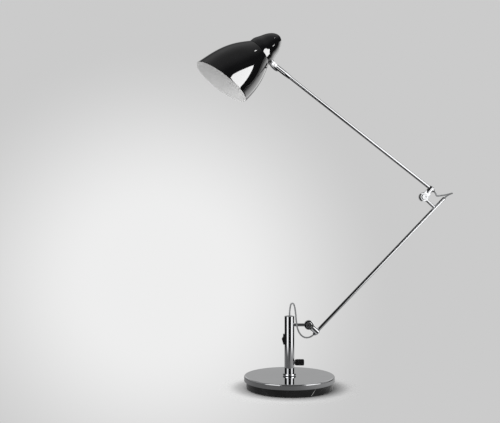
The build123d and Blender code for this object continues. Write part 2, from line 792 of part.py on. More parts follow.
# Lug: a tongue for the fork, a foot that sits on the cap's skirt and a threaded stem through it.
lug_nut_seat = seam_radius - cap_wall - bracket_upright
stem_inner = lug_nut_seat - lug_nut_height
tongue_start = seam_radius + lug_foot_height / 2
tongue_length = seam_radius + lug_reach - tongue_start
with BuildPart() as head_lug:
    with BuildSketch(facing(lug_axis_point + head_out * seam_radius / 2, head_out, tilt_axis_dir)):
        Circle(lug_foot_radius)
    extrude(amount=seam_radius / 2 + lug_foot_height)
    add(cap_outer, mode=Mode.SUBTRACT)
    with BuildSketch(Plane(origin=lug_axis_point, x_dir=head_out, z_dir=-tilt_axis_dir)):
        with Locations((tongue_start + tongue_length / 2, 0)):
            Rectangle(tongue_length, 2 * lug_end_radius)
        with Locations((seam_radius + lug_reach, 0)):
            Circle(lug_end_radius)
            Circle(tilt_pin_radius + snug, mode=Mode.SUBTRACT)
    extrude(amount=tongue_thickness / 2, both=True)
    with BuildSketch(facing(lug_axis_point + head_out * stem_inner, head_out, tilt_axis_dir)):
        Circle(lug_stem_radius)
    extrude(amount=seam_radius + lug_foot_height - stem_inner)
    with BuildSketch(fork_plane):
        Circle(tilt_pin_radius + snug)
    extrude(amount=tongue_thickness, both=True, mode=Mode.SUBTRACT)
head_lug.part.label = "head_lug"
parts.append(head_lug.part)

# Bracket: an angle strip from the holder's flange to the inside of the cap, behind the lug.
bracket_top = lug_above_seam + bracket_width / 2
bracket_face = seam_radius - cap_wall
with BuildPart() as lug_bracket:
    with BuildSketch(head_level(holder_flange_height)):
        with Locations(((bracket_face + holder_body_radius) / 2, 0)):
            Rectangle(bracket_face - holder_body_radius, bracket_width)
    extrude(amount=bracket_thickness)
    with BuildSketch(head_level(holder_flange_height)):
        with Locations((bracket_face - bracket_upright / 2, 0)):
            Rectangle(bracket_upright, bracket_width)
    extrude(amount=bracket_top - holder_flange_height)
    add(cap_inner, mode=Mode.INTERSECT)
    with BuildSketch(head_level(0)):
        Circle(holder_body_radius)
    extrude(amount=cap_length, mode=Mode.SUBTRACT)
    with BuildSketch(facing(lug_axis_point, head_out, tilt_axis_dir)):
        Circle(lug_stem_radius + snug)
    extrude(amount=2 * seam_radius, mode=Mode.SUBTRACT)
lug_bracket.part.label = "lug_bracket"
parts.append(lug_bracket.part)

parts.append(
    hex_nut(
        facing(lug_axis_point + head_out * (lug_nut_seat - lug_nut_height), head_out, tilt_axis_dir),
        lug_nut_flats,
        lug_stem_radius + snug,
        lug_nut_height,
        "lug_nut",
    )
)

# Lamp holder: a threaded skirt below the shade's flat top, a flange on it and a body in the cap.
with BuildPart() as lamp_holder:
    with BuildSketch(head_level(-holder_skirt)):
        Circle(holder_radius)
    extrude(amount=holder_skirt)
    with BuildSketch(head_level(0)):
        Circle(holder_flange_radius)
    extrude(amount=holder_flange_height)
    with BuildSketch(head_level(holder_flange_height)):
        Circle(holder_body_radius)
    extrude(amount=holder_top - holder_flange_height)
    with BuildSketch(head_level(-holder_skirt)):
        Circle(socket_radius)
    extrude(amount=socket_depth, mode=Mode.SUBTRACT)
lamp_holder.part.label = "lamp_holder"
parts.append(lamp_holder.part)

parts.append(
    ring(
        head_level(-shade_wall - shade_ring_height),
        shade_ring_radius,
        holder_radius + snug,
        shade_ring_height,
        "shade_ring",
    )
)

# Bulb: a screw base in the holder and a glass globe on a short neck.
bulb_seat = -holder_skirt
bulb_base_radius = socket_radius - snug
with BuildPart() as bulb_base:
    with BuildSketch(head_level(bulb_seat)):
        Circle(bulb_base_radius)
    extrude(amount=bulb_base_length)
bulb_base.part.label = "bulb_base"
parts.append(bulb_base.part)

globe_z = bulb_seat - bulb_drop


def globe_solid(inset):
    """The globe and its neck as a full turned solid, set in from the outer face."""
    globe_radius = bulb_radius - inset
    neck_radius = bulb_neck_radius - inset
    globe_sweep = 180 - degrees(asin(neck_radius / globe_radius))
    with BuildPart() as piece:
        with BuildSketch(head_profile):
            with BuildLine():
                globe_arc = CenterArc((0, globe_z), globe_radius, -90, globe_sweep)
                Polyline(globe_arc @ 1, (neck_radius, bulb_seat), (0, bulb_seat), globe_arc @ 0)
            make_face()
        revolve(axis=head_axis)
    return piece.part


globe_outer = globe_solid(0)
globe_inner = globe_solid(bulb_wall)
with BuildPart() as bulb_glass:
    add(globe_outer)
    add(globe_inner, mode=Mode.SUBTRACT)
bulb_glass.part.label = "bulb_glass"
parts.append(bulb_glass.part)


def smooth_radii(points):
    """As large a bend at each corner of a route as its two runs allow."""
    radii = []
    for before, corner, after in zip(points, points[1:], points[2:]):
        turn = (corner - before).get_angle(after - corner)
        shorter = min((corner - before).length, (after - corner).length)
        radii.append(0.45 * shorter / tan(radians(turn / 2)))
    return radii


def lead(points, label):
    """A round lead along a route of straight runs joined by tangent arcs."""
    radii = smooth_radii(points)
    with BuildPart() as piece:
        with BuildLine() as route:
            FilletPolyline(*points, radius=radii)
        with BuildSketch(facing(points[0], points[1] - points[0])):
            Circle(lead_radius)
        sweep(path=route.wire())
    piece.part.label = label
    length = route.wire().length
    share = piece.part.volume / (pi * lead_radius**2 * length)
    print(label, "length", round(length, 1), "share of section times length", round(share, 4))
    print("  radii", [round(radius, 1) for radius in radii])
    return piece.part


# Lead from the switch, out of the top of the post and into the foot of the lower arm.
switch_top = Vector(0, 0, switch_z + window_length / 2 - snug)
parts.append(
    lead(
        [switch_top, Vector(0, 0, post_top + lead_straight_out)]
        + [Vector(0, 0, post_top) + Vector(*bend) for bend in post_lead_bends]
        + [lower_start - lower_along * lead_straight_out, lower_start + lower_along * end_bush_depth],
        "post_lead",
    )
)

# Lead over the elbow, from the top of the lower arm into the upper arm.
parts.append(
    lead(
        [lower_end - lower_along * end_bush_depth, lower_end + lower_along * lead_straight_out]
        + [elbow + Vector(*bend) for bend in elbow_lead_bends]
        + [upper_start - upper_along * lead_straight_out, upper_start + upper_along * end_bush_depth],
        "elbow_lead",
    )
)

# Lead from the back of the sleeve into the cap.
cap_entry = lug_axis_point + lead_hole_dir * seam_radius
bulge_x, bulge_y, bulge_z = head_lead_bulge
parts.append(
    lead(
        [
            head_lead_start,
            head_lead_start + tilt_axis_dir * (sleeve_radius + lead_straight_out),
            seam_centre + head_out * bulge_x + tilt_axis_dir * bulge_y + head_up * bulge_z,
            cap_entry + lead_hole_dir * lead_straight_out,
            cap_entry - lead_hole_dir * lead_straight_out,
        ],
        "head_lead",
    )
)

os.makedirs("parts", exist_ok=True)
for part in parts:
    export_step(part, f"parts/{part.label}.step")
print(len(parts), "pieces")
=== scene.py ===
"""Looks of a folding bedside lamp: its finishes, spun shade, leads and the studio round it.

Sizes are in millimetres in the part's own frame: +Z is up, -Y faces the viewer and the origin is
under the middle of the base. Blender's objects are in metres.
"""

import logging
import math
from dataclasses import dataclass, field
from enum import Enum
from typing import Sequence

import bpy
import numpy as np
from mathutils import Matrix, Vector


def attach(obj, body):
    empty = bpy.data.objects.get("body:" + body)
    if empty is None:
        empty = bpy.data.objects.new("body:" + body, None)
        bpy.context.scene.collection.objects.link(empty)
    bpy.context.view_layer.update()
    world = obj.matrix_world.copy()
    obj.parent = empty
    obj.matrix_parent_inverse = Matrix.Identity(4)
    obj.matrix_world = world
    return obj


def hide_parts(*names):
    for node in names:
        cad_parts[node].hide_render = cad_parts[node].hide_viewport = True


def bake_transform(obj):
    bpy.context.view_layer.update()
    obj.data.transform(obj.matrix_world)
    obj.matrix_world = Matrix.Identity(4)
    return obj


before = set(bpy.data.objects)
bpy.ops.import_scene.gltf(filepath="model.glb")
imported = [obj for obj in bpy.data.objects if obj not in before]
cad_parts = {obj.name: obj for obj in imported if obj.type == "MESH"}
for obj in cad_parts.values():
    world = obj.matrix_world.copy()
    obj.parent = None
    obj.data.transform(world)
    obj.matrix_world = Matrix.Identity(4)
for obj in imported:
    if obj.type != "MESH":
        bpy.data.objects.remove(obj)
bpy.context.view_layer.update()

log = logging.getLogger("bedside_lamp")

Colour = tuple[float, float, float]
Point = tuple[float, float, float]
Span = tuple[float, float]

METRES = 0.001
LEVEL = math.radians(90.0)


class Body(Enum):
    """The moving bodies that new pieces ride on."""

    POST = "post"
    THUMBSCREW = "thumbscrew"
    LOWER_ARM = "lower_arm"
    UPPER_ARM = "upper_arm"
    SLEEVE = "sleeve"
    HEAD = "head"


class Slot(Enum):
    """The material slots of the part, by name."""

    BLACK_ENAMEL = "black_enamel"
    BLACK_PLASTIC = "black_plastic"
    HOLDER_PLASTIC = "holder_plastic"
    LEAD_JACKET = "lead_jacket"
    BULB_GLASS = "bulb_glass"


def in_metres(lengths: Sequence[float]) -> tuple[float, ...]:
    """Lengths in millimetres, as metres."""
    return tuple(length * METRES for length in lengths)


def even_angles(count: int) -> np.ndarray:
    """The angles of a full turn, in even steps."""
    return np.linspace(0.0, 2.0 * math.pi, count, endpoint=False)


def rgba(colour: Colour) -> tuple[float, float, float, float]:
    """A colour with full opacity."""
    return (*colour, 1.0)


def grey(level: float) -> Colour:
    """A neutral colour of one level."""
    return (level, level, level)


class Graph:
    """A node tree with short calls that add, set and join its nodes."""

    def __init__(self, tree: bpy.types.NodeTree) -> None:
        """Start from an empty tree.

        Args:
            tree: The node tree to fill.
        """
        self.tree = tree
        self.tree.nodes.clear()

    def feed(self, socket: bpy.types.NodeSocket, value: object) -> None:
        """Join an input to another socket, or set its plain value.

        Args:
            socket: The input.
            value: A socket, or a value of the input's own kind.
        """
        if isinstance(value, bpy.types.NodeSocket):
            self.tree.links.new(value, socket)
        else:
            socket.default_value = value

    def add(
        self, kind: str, inputs: dict[str | int, object] | None = None, **settings: object
    ) -> bpy.types.Node:
        """Add a node.

        Args:
            kind: The node's type.
            inputs: Values or sockets for its inputs, by name or by place.
            settings: The node's own properties.

        Returns:
            The new node.
        """
        node = self.tree.nodes.new(kind)
        for name, value in settings.items():
            setattr(node, name, value)
        for key, value in (inputs or {}).items():
            self.feed(node.inputs[key], value)
        return node

    def calc(self, operation: str, first: object, second: object = 0.0) -> bpy.types.NodeSocket:
        """The result of one arithmetic step.

        Args:
            operation: The step, such as ADD.
            first: A value or socket.
            second: A value or socket.

        Returns:
            The socket with the result.
        """
        return self.add("ShaderNodeMath", {0: first, 1: second}, operation=operation).outputs[0]

    def vector_calc(self, operation: str, first: object, second: object) -> bpy.types.Node:
        """The node of one step on vectors.

        Args:
            operation: The step, such as DOT_PRODUCT.
            first: A vector or socket.
            second: A vector or socket.

        Returns:
            The node, whose outputs are a vector and a value.
        """
        return self.add("ShaderNodeVectorMath", {0: first, 1: second}, operation=operation)

    def remap(self, value: object, source: Span, target: Span = (0.0, 1.0)) -> bpy.types.NodeSocket:
        """A value carried smoothly from one range to another, and held at its ends.

        Args:
            value: A value or socket.
            source: Start and end of the range that it comes from.
            target: Start and end of the range that it goes to.

        Returns:
            The socket with the result.
        """
        inputs = {
            "Value": value,
            "From Min": source[0],
            "From Max": source[1],
            "To Min": target[0],
            "To Max": target[1],
        }
        return self.add("ShaderNodeMapRange", inputs, interpolation_type="SMOOTHSTEP").outputs[0]

    def mix(self, factor: object, first: object, second: object) -> bpy.types.NodeSocket:
        """Two colours mixed.

        Args:
            factor: The share of the second colour.
            first: A colour or socket.
            second: A colour or socket.

        Returns:
            The socket with the mixed colour.
        """
        return self.add("ShaderNodeMix", {0: factor, 6: first, 7: second}, data_type="RGBA").outputs[2]

    def object_point(self) -> bpy.types.NodeSocket:
        """The place on the piece, in its own coordinates."""
        return self.add("ShaderNodeTexCoord").outputs["Object"]

    def noise(self, vector: object, scale: object, detail: float = 2.0) -> bpy.types.NodeSocket:
        """Soft noise.

        Args:
            vector: The place that it is read at.
            scale: How many spots there are in a metre.
            detail: How many finer layers are added.

        Returns:
            The socket with the noise, from 0 to 1.
        """
        inputs = {"Vector": vector, "Scale": scale, "Detail": detail}
        return self.add("ShaderNodeTexNoise", inputs).outputs[0]

    def neutral(self, level: bpy.types.NodeSocket) -> bpy.types.NodeSocket:
        """A neutral colour whose level varies."""
        return self.add("ShaderNodeCombineColor", {0: level, 1: level, 2: level}).outputs[0]

    def group(self, effect: "SharedEffect", values: dict[str, object]) -> bpy.types.Node:
        """Place a shared effect.

        Args:
            effect: The effect.
            values: Values for its inputs, by name.

        Returns:
            The group node.
        """
        return self.add("ShaderNodeGroup", values, node_tree=effect.tree())


class SharedEffect:
    """A shader node group that several finishes use with their own values."""

    name: str = ""
    inputs: dict[str, float] = {}
    outputs: tuple[str, ...] = ()

    def tree(self) -> bpy.types.NodeTree:
        """The group's tree, built on first use.

        Returns:
            The tree.
        """
        found = bpy.data.node_groups.get(self.name)
        if found is not None:
            return found
        tree = bpy.data.node_groups.new(self.name, "ShaderNodeTree")
        for name, value in self.inputs.items():
            socket = tree.interface.new_socket(name=name, in_out="INPUT", socket_type="NodeSocketFloat")
            socket.default_value = value
        for name in self.outputs:
            tree.interface.new_socket(name=name, in_out="OUTPUT", socket_type="NodeSocketFloat")
        graph = Graph(tree)
        source = graph.add("NodeGroupInput")
        sink = graph.add("NodeGroupOutput")
        self.fill(graph, source, sink)
        return tree

    def fill(self, graph: Graph, source: bpy.types.Node, sink: bpy.types.Node) -> None:
        """Add the effect's own nodes.

        Args:
            graph: The group's graph.
            source: The node with the group's inputs.
            sink: The node that takes the group's outputs.
        """
        raise NotImplementedError


class HandledSurface(SharedEffect):
    """Smudges that dull a clean surface, and the fine grain of the surface itself."""

    name = "Handled surface"
    inputs = {"Clean": 0.1, "Handled": 0.2, "Smudge Scale": 45.0, "Grain Scale": 1200.0}
    outputs = ("Roughness", "Grain")
    fine_times: float = 6.0
    broad_edge: Span = (0.42, 0.68)
    fine_edge: Span = (0.3, 0.7)

    def fill(self, graph: Graph, source: bpy.types.Node, sink: bpy.types.Node) -> None:
        """Add two layers of smudges and one of grain.

        Args:
            graph: The group's graph.
            source: The node with the group's inputs.
            sink: The node that takes the group's outputs.
        """
        place = graph.object_point()
        broad = graph.noise(place, source.outputs["Smudge Scale"], detail=3.0)
        fine = graph.noise(place, graph.calc("MULTIPLY", source.outputs["Smudge Scale"], self.fine_times))
        broad_marks = graph.remap(broad, self.broad_edge)
        marks = graph.calc("MULTIPLY", broad_marks, graph.remap(fine, self.fine_edge))
        spread = graph.calc("SUBTRACT", source.outputs["Handled"], source.outputs["Clean"])
        added = graph.calc("MULTIPLY", marks, spread)
        graph.feed(sink.inputs["Roughness"], graph.calc("ADD", source.outputs["Clean"], added))
        graph.feed(sink.inputs["Grain"], graph.noise(place, source.outputs["Grain Scale"]))


class SettledDust(SharedEffect):
    """A thin, patchy film of dust on what faces up."""

    name = "Settled dust"
    inputs = {"Amount": 0.1, "Patch Scale": 30.0}
    outputs = ("Mask",)
    upward_edge: Span = (0.2, 1.0)
    patch_edge: Span = (0.3, 0.75)
    speckle_scale: float = 2600.0
    speckle_edge: Span = (0.25, 0.8)

    def fill(self, graph: Graph, source: bpy.types.Node, sink: bpy.types.Node) -> None:
        """Add the upward mask and its patches.

        Args:
            graph: The group's graph.
            source: The node with the group's inputs.
            sink: The node that takes the group's outputs.
        """
        coordinates = graph.add("ShaderNodeTexCoord")
        upward = graph.add("ShaderNodeSeparateXYZ", {0: coordinates.outputs["Normal"]}).outputs["Z"]
        facing = graph.remap(upward, self.upward_edge)
        patches = graph.noise(coordinates.outputs["Object"], source.outputs["Patch Scale"], detail=4.0)
        speckle = graph.noise(coordinates.outputs["Object"], self.speckle_scale, detail=1.0)
        patchy = graph.remap(patches, self.patch_edge)
        film = graph.calc("MULTIPLY", patchy, graph.remap(speckle, self.speckle_edge))
        amount = graph.calc("MULTIPLY", film, source.outputs["Amount"])
        graph.feed(sink.inputs["Mask"], graph.calc("MULTIPLY", facing, amount))


HANDLED = HandledSurface()
DUST = SettledDust()
DUST_COLOUR: Colour = (0.42, 0.41, 0.39)
DUST_DULLS = 0.5
CLOUD_SCALE = 0.7
CLOUD_EDGE: Span = (0.3, 0.7)
SCATTER_RADIUS: Point = (0.002, 0.002, 0.002)


@dataclass(frozen=True)
class Finish:
    """A finish: a colour that varies a little, smudges, a fine grain and a film of dust."""

    name: str
    colour: Colour
    clean: float
    handled: float
    metallic: float = 0.0
    ior: float = 1.5
    coat: float = 0.0
    coat_roughness: float = 0.03
    subsurface: float = 0.0
    sheen: float = 0.0
    variation: float = 0.06
    smudge_scale: float = 45.0
    grain_scale: float = 1200.0
    grain_depth: float = 0.01
    dust: float = 0.04

    def tone(self, graph: Graph) -> bpy.types.NodeSocket:
        """The finish's own colour over the surface.

        Args:
            graph: The material's graph.

        Returns:
            The socket with the colour.
        """
        clouds = graph.noise(graph.object_point(), self.smudge_scale * CLOUD_SCALE, detail=3.0)
        deeper = tuple(level * (1.0 - self.variation) for level in self.colour)
        paler = tuple(min(1.0, level * (1.0 + self.variation)) for level in self.colour)
        return graph.mix(graph.remap(clouds, CLOUD_EDGE), rgba(deeper), rgba(paler))

    def material(self) -> bpy.types.Material:
        """The finish as a material, made on first use.

        Returns:
            The material.
        """
        found = bpy.data.materials.get(self.name)
        if found is not None:
            return found
        made = bpy.data.materials.new(self.name)
        made.use_nodes = True
        graph = Graph(made.node_tree)
        marks = {
            "Clean": self.clean,
            "Handled": self.handled,
            "Smudge Scale": self.smudge_scale,
            "Grain Scale": self.grain_scale,
        }
        handled = graph.group(HANDLED, marks)
        dust = graph.group(DUST, {"Amount": self.dust})
        bump_inputs = {
            "Strength": 1.0,
            "Distance": self.grain_depth * METRES,
            "Height": handled.outputs["Grain"],
        }
        bump = graph.add("ShaderNodeBump", bump_inputs)
        dulled = graph.calc("MULTIPLY", dust.outputs["Mask"], DUST_DULLS)
        shader_inputs = {
            "Base Color": graph.mix(dust.outputs["Mask"], self.tone(graph), rgba(DUST_COLOUR)),
            "Roughness": graph.calc("ADD", handled.outputs["Roughness"], dulled),
            "Metallic": self.metallic,
            "IOR": self.ior,
            "Coat Weight": self.coat,
            "Coat Roughness": self.coat_roughness,
            "Subsurface Weight": self.subsurface,
            "Subsurface Radius": SCATTER_RADIUS,
            "Subsurface Scale": 1.0,
            "Sheen Weight": self.sheen,
            "Normal": bump.outputs[0],
        }
        shader = graph.add("ShaderNodeBsdfPrincipled", shader_inputs)
        graph.add("ShaderNodeOutputMaterial", {"Surface": shader.outputs[0]})
        return made


@dataclass(frozen=True)
class Vein:
    """A sheet of white calcite through the stone."""

    through: Point
    square_to: Point
    width: float
    strength: float


@dataclass(frozen=True)
class VeinedStone(Finish):
    """Polished stone with a few clear veins and a faint net of finer ones."""

    vein_colour: Colour = (0.72, 0.72, 0.70)
    veins: tuple[Vein, ...] = ()
    vein_edge: Span = (1.6, 0.4)
    patch_scale: float = 90.0
    patch_edge: Span = (0.25, 0.55)
    patch_levels: Span = (0.35, 1.0)
    warp: float = 2.6
    warp_scale: float = 55.0
    net_scale: float = 42.0
    net_width: float = 0.035
    net_strength: float = 0.05
    break_scale: float = 26.0
    break_edge: Span = (0.45, 0.65)

    def vein_mask(self, graph: Graph, place: bpy.types.NodeSocket, vein: Vein) -> bpy.types.NodeSocket:
        """How much of one vein shows at a place.

        Args:
            graph: The material's graph.
            place: The place on the stone, already warped.
            vein: The vein.

        Returns:
            The socket with the mask.
        """
        normal = Vector(vein.square_to).normalized()
        offset = normal.dot(Vector(vein.through)) * METRES
        along = graph.vector_calc("DOT_PRODUCT", place, tuple(normal)).outputs["Value"]
        distance = graph.calc("ABSOLUTE", graph.calc("SUBTRACT", along, offset))
        outer, inner = (vein.width * METRES / 2 * share for share in self.vein_edge)
        core = graph.remap(distance, (outer, inner), (0.0, vein.strength))
        patches = graph.noise(graph.object_point(), self.patch_scale, detail=3.0)
        return graph.calc("MULTIPLY", core, graph.remap(patches, self.patch_edge, self.patch_levels))

    def tone(self, graph: Graph) -> bpy.types.NodeSocket:
        """Black ground, faint net and clear veins.

        Args:
            graph: The material's graph.

        Returns:
            The socket with the colour.
        """
        place = graph.object_point()
        shake_inputs = {"Vector": place, "Scale": self.warp_scale, "Detail": 3.0}
        shake = graph.add("ShaderNodeTexNoise", shake_inputs).outputs["Color"]
        centred = graph.vector_calc("SUBTRACT", shake, grey(0.5)).outputs[0]
        moved_inputs = {0: centred, "Scale": 2.0 * self.warp * METRES}
        moved = graph.add("ShaderNodeVectorMath", moved_inputs, operation="SCALE")
        warped = graph.vector_calc("ADD", place, moved.outputs[0]).outputs[0]
        ground = super().tone(graph)
        cell_inputs = {"Vector": warped, "Scale": self.net_scale}
        cells = graph.add("ShaderNodeTexVoronoi", cell_inputs, feature="DISTANCE_TO_EDGE")
        thin = graph.remap(cells.outputs["Distance"], (self.net_width, 0.0), (0.0, self.net_strength))
        broken = graph.remap(graph.noise(place, self.break_scale), self.break_edge)
        mask = graph.calc("MULTIPLY", thin, broken)
        for vein in self.veins:
            mask = graph.calc("MAXIMUM", mask, self.vein_mask(graph, warped, vein))
        return graph.mix(mask, ground, rgba(self.vein_colour))


CHROME = Finish(
    "chrome plate", (0.56, 0.565, 0.575), 0.03, 0.075,
    metallic=1.0, variation=0.02, grain_depth=0.0004, dust=0.02,
)
SATIN_CHROME = Finish(
    "satin chrome plate", (0.62, 0.625, 0.635), 0.24, 0.32,
    metallic=1.0, variation=0.02, grain_depth=0.001, dust=0.02,
)
ZINC = Finish(
    "zinc plated steel", (0.52, 0.53, 0.55), 0.26, 0.42,
    metallic=1.0, grain_depth=0.004, dust=0.05,
)
BLACK_ENAMEL = Finish(
    "black gloss enamel", (0.006, 0.006, 0.0065), 0.035, 0.07,
    ior=1.6, coat=0.4, variation=0.15, grain_scale=420.0, grain_depth=0.002, dust=0.02,
)
WHITE_ENAMEL = Finish(
    "white matt enamel", (0.74, 0.74, 0.74), 0.62, 0.7,
    ior=1.2, variation=0.03, grain_scale=700.0, grain_depth=0.006, dust=0.05,
)
BLACK_PLASTIC = Finish(
    "black moulded plastic", (0.006, 0.006, 0.0065), 0.34, 0.46,
    variation=0.2, grain_scale=2600.0, grain_depth=0.02, dust=0.02,
)
HOLDER_PLASTIC = Finish(
    "white moulded plastic", (0.62, 0.61, 0.58), 0.36, 0.5,
    variation=0.04, grain_scale=2200.0, grain_depth=0.012, dust=0.05,
)
NYLON = Finish(
    "natural nylon", (0.62, 0.60, 0.54), 0.4, 0.55,
    subsurface=0.15, variation=0.05, grain_scale=1800.0, grain_depth=0.01,
)
LEAD_PVC = Finish(
    "grey flexible lead", (0.25, 0.255, 0.26), 0.42, 0.52,
    subsurface=0.25, variation=0.06, grain_scale=1500.0, grain_depth=0.006,
)
FELT = Finish(
    "black felt", (0.018, 0.018, 0.02), 0.9, 0.98,
    sheen=0.35, variation=0.35, grain_scale=1600.0, grain_depth=0.3, dust=0.2,
)
OPAL_GLASS = Finish(
    "opal glass", (0.86, 0.86, 0.84), 0.12, 0.2,
    coat=0.5, subsurface=0.3, variation=0.02, grain_scale=500.0, grain_depth=0.001,
)
BRASS = Finish(
    "plated brass", (0.70, 0.66, 0.55), 0.2, 0.34,
    metallic=1.0, grain_depth=0.002,
)
BLACK_MARBLE = VeinedStone(
    "black polished marble", (0.009, 0.009, 0.0095), 0.1, 0.2,
    coat=0.25, variation=0.45, grain_scale=900.0, grain_depth=0.003,
    veins=(
        Vein((35.1, -62.8, 6.0), (0.79, 0.1, -0.61), 0.8, 0.75),
        Vein((66.0, -28.0, 6.0), (0.9, 0.1, -0.42), 0.8, 0.3),
        Vein((-40.0, -59.0, 6.0), (0.6, -0.3, 0.74), 0.6, 0.03),
        Vein((10.0, 70.0, 6.0), (0.2, 0.66, 0.72), 1.2, 0.7),
        Vein((-62.0, 35.0, 6.0), (0.3, 0.8, -0.5), 0.9, 0.5),
    ),
)


@dataclass
class Skin:
    """The points and faces of a piece, with the finish of each face."""

    points: np.ndarray
    faces: list[tuple[int, ...]]
    finish_of: list[int]

    def volume(self) -> float:
        """The volume that the faces enclose.

        Returns:
            The signed volume, which is positive where the faces point outwards.
        """
        total = 0.0
        for face in self.faces:
            corner = self.points[face[0]]
            for second, third in zip(face[1:], face[2:]):
                total += float(np.dot(corner, np.cross(self.points[second], self.points[third])))
        return total / 6.0

    def mesh(self, name: str, finishes: Sequence[Finish], sharp_angle: float = 38.0) -> bpy.types.Mesh:
        """The skin as a smooth mesh with sharp edges kept.

        Args:
            name: The mesh's name.
            finishes: The finishes that finish_of counts into.
            sharp_angle: Edges that bend by more than this many degrees stay sharp.

        Returns:
            The mesh, in metres.
        """
        faces = self.faces
        if self.volume() < 0:
            faces = [tuple(reversed(face)) for face in faces]
        made = bpy.data.meshes.new(name)
        made.from_pydata((self.points * METRES).tolist(), [], faces)
        for finish in finishes:
            made.materials.append(finish.material())
        made.polygons.foreach_set("material_index", self.finish_of)
        made.polygons.foreach_set("use_smooth", [True] * len(faces))
        made.set_sharp_from_angle(angle=math.radians(sharp_angle))
        made.update()
        return made


def woven(rows: np.ndarray, bands: Sequence[int], loop: bool) -> Skin:
    """Quads between rings of points, each ring closed on itself.

    Args:
        rows: Points of the rings, as rings by points by three.
        bands: The finish of the band after each ring.
        loop: Whether the last ring joins the first, or both ends are closed by a fan.

    Returns:
        The closed skin.
    """
    count, around, _ = rows.shape
    points = rows.reshape(-1, 3)
    faces: list[tuple[int, ...]] = []
    finish_of: list[int] = []
    for ring in range(count if loop else count - 1):
        start = ring * around
        after = ((ring + 1) % count) * around
        for step in range(around):
            beside = (step + 1) % around
            faces.append((start + step, start + beside, after + beside, after + step))
            finish_of.append(bands[ring])
    if not loop:
        for ring, turned_over in ((0, True), (count - 1, False)):
            centre = len(points)
            points = np.vstack([points, rows[ring].mean(axis=0)])
            start = ring * around
            for step in range(around):
                beside = (step + 1) % around
                pair = (beside, step) if turned_over else (step, beside)
                faces.append((start + pair[0], start + pair[1], centre))
                finish_of.append(bands[min(ring, count - 2)])
    return Skin(points, faces, finish_of)


@dataclass(frozen=True)
class TurnAxis:
    """An axis that pieces are turned on, with the direction that angles start from."""

    origin: Point
    up: Point
    out: Point

    @property
    def side(self) -> np.ndarray:
        """The direction a quarter turn on from out."""
        return np.cross(self.up, self.out)

    def place(self, radius: np.ndarray, height: np.ndarray, angle: np.ndarray) -> np.ndarray:
        """Points from the axis's own coordinates, which are spread over each other's shapes.

        Args:
            radius: Distances from the axis.
            height: Distances along it.
            angle: Angles round it.

        Returns:
            The points, with one more dimension of three.
        """
        across = np.cos(angle)[..., None] * np.array(self.out) + np.sin(angle)[..., None] * self.side
        return np.array(self.origin) + radius[..., None] * across + height[..., None] * np.array(self.up)

    def matrix(self, height: float = 0.0) -> Matrix:
        """A transform, in metres, from a piece that stands on its own Z axis.

        Args:
            height: How far along the axis the piece stands.

        Returns:
            The transform.
        """
        foot = (np.array(self.origin) + height * np.array(self.up)) * METRES
        turn = np.column_stack([self.out, self.side, self.up])
        return Matrix.Translation(Vector(foot)) @ Matrix([Vector(row) for row in turn]).to_4x4()


def turned(profile: Sequence[Span], axis: TurnAxis, loop: bool = True, around: int = 72) -> Skin:
    """A profile of radius and height turned round an axis, in one finish.

    Args:
        profile: Pairs of radius and height.
        axis: The axis.
        loop: Whether the profile closes on itself.
        around: How many points a full turn has.

    Returns:
        The skin.
    """
    pairs = np.array(profile, float)
    rows = axis.place(pairs[:, :1], pairs[:, 1:], even_angles(around))
    return woven(rows, [0] * len(pairs), loop)


def smooth_line(knots: Sequence[Span], start: Span, end: Span, steps: int) -> np.ndarray:
    """A smooth line through knots, with a given direction at each end.

    Args:
        knots: The points that it passes through.
        start: Its direction at the first knot.
        end: Its direction at the last knot.
        steps: How many points are taken along it.

    Returns:
        The points.
    """
    points = np.array(knots, float)
    runs = np.linalg.norm(np.diff(points, axis=0), axis=1)
    places = np.concatenate([[0.0], np.cumsum(runs)])
    count = len(points)
    system = np.zeros((count, count))
    right = np.zeros((count, 2))
    system[0, 0] = 1.0
    system[-1, -1] = 1.0
    right[0] = np.array(start) / np.linalg.norm(start)
    right[-1] = np.array(end) / np.linalg.norm(end)
    for k in range(1, count - 1):
        before, after = runs[k - 1], runs[k]
        system[k, k - 1] = after
        system[k, k] = 2.0 * (before + after)
        system[k, k + 1] = before
        rise = after * (points[k] - points[k - 1]) / before + before * (points[k + 1] - points[k]) / after
        right[k] = 3.0 * rise
    slopes = np.linalg.solve(system, right)
    line = []
    for place in np.linspace(0.0, places[-1], steps):
        k = min(int(np.searchsorted(places, place, side="right")) - 1, count - 2)
        share = (place - places[k]) / runs[k]
        square, cube = share**2, share**3
        line.append(
            (2 * cube - 3 * square + 1) * points[k]
            + (cube - 2 * square + share) * runs[k] * slopes[k]
            + (3 * square - 2 * cube) * points[k + 1]
            + (cube - square) * runs[k] * slopes[k + 1]
        )
    return np.array(line)


def stand(mesh: bpy.types.Mesh, name: str) -> bpy.types.Object:
    """Put a mesh into the scene as an object at the origin.

    Args:
        mesh: The mesh, with its place in its points.
        name: The object's name.

    Returns:
        The object.
    """
    piece = bpy.data.objects.new(name, mesh)
    bpy.context.scene.collection.objects.link(piece)
    return piece


def settle(piece: bpy.types.Object, body: Body, node: str) -> None:
    """Let a finished piece ride on its body and stand for its node.

    Args:
        piece: The piece.
        body: The body that it rides on.
        node: The node that it stands for.
    """
    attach(piece, body.value)
    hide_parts(node)
    log.info("%s rides on %s", piece.name, body.value)


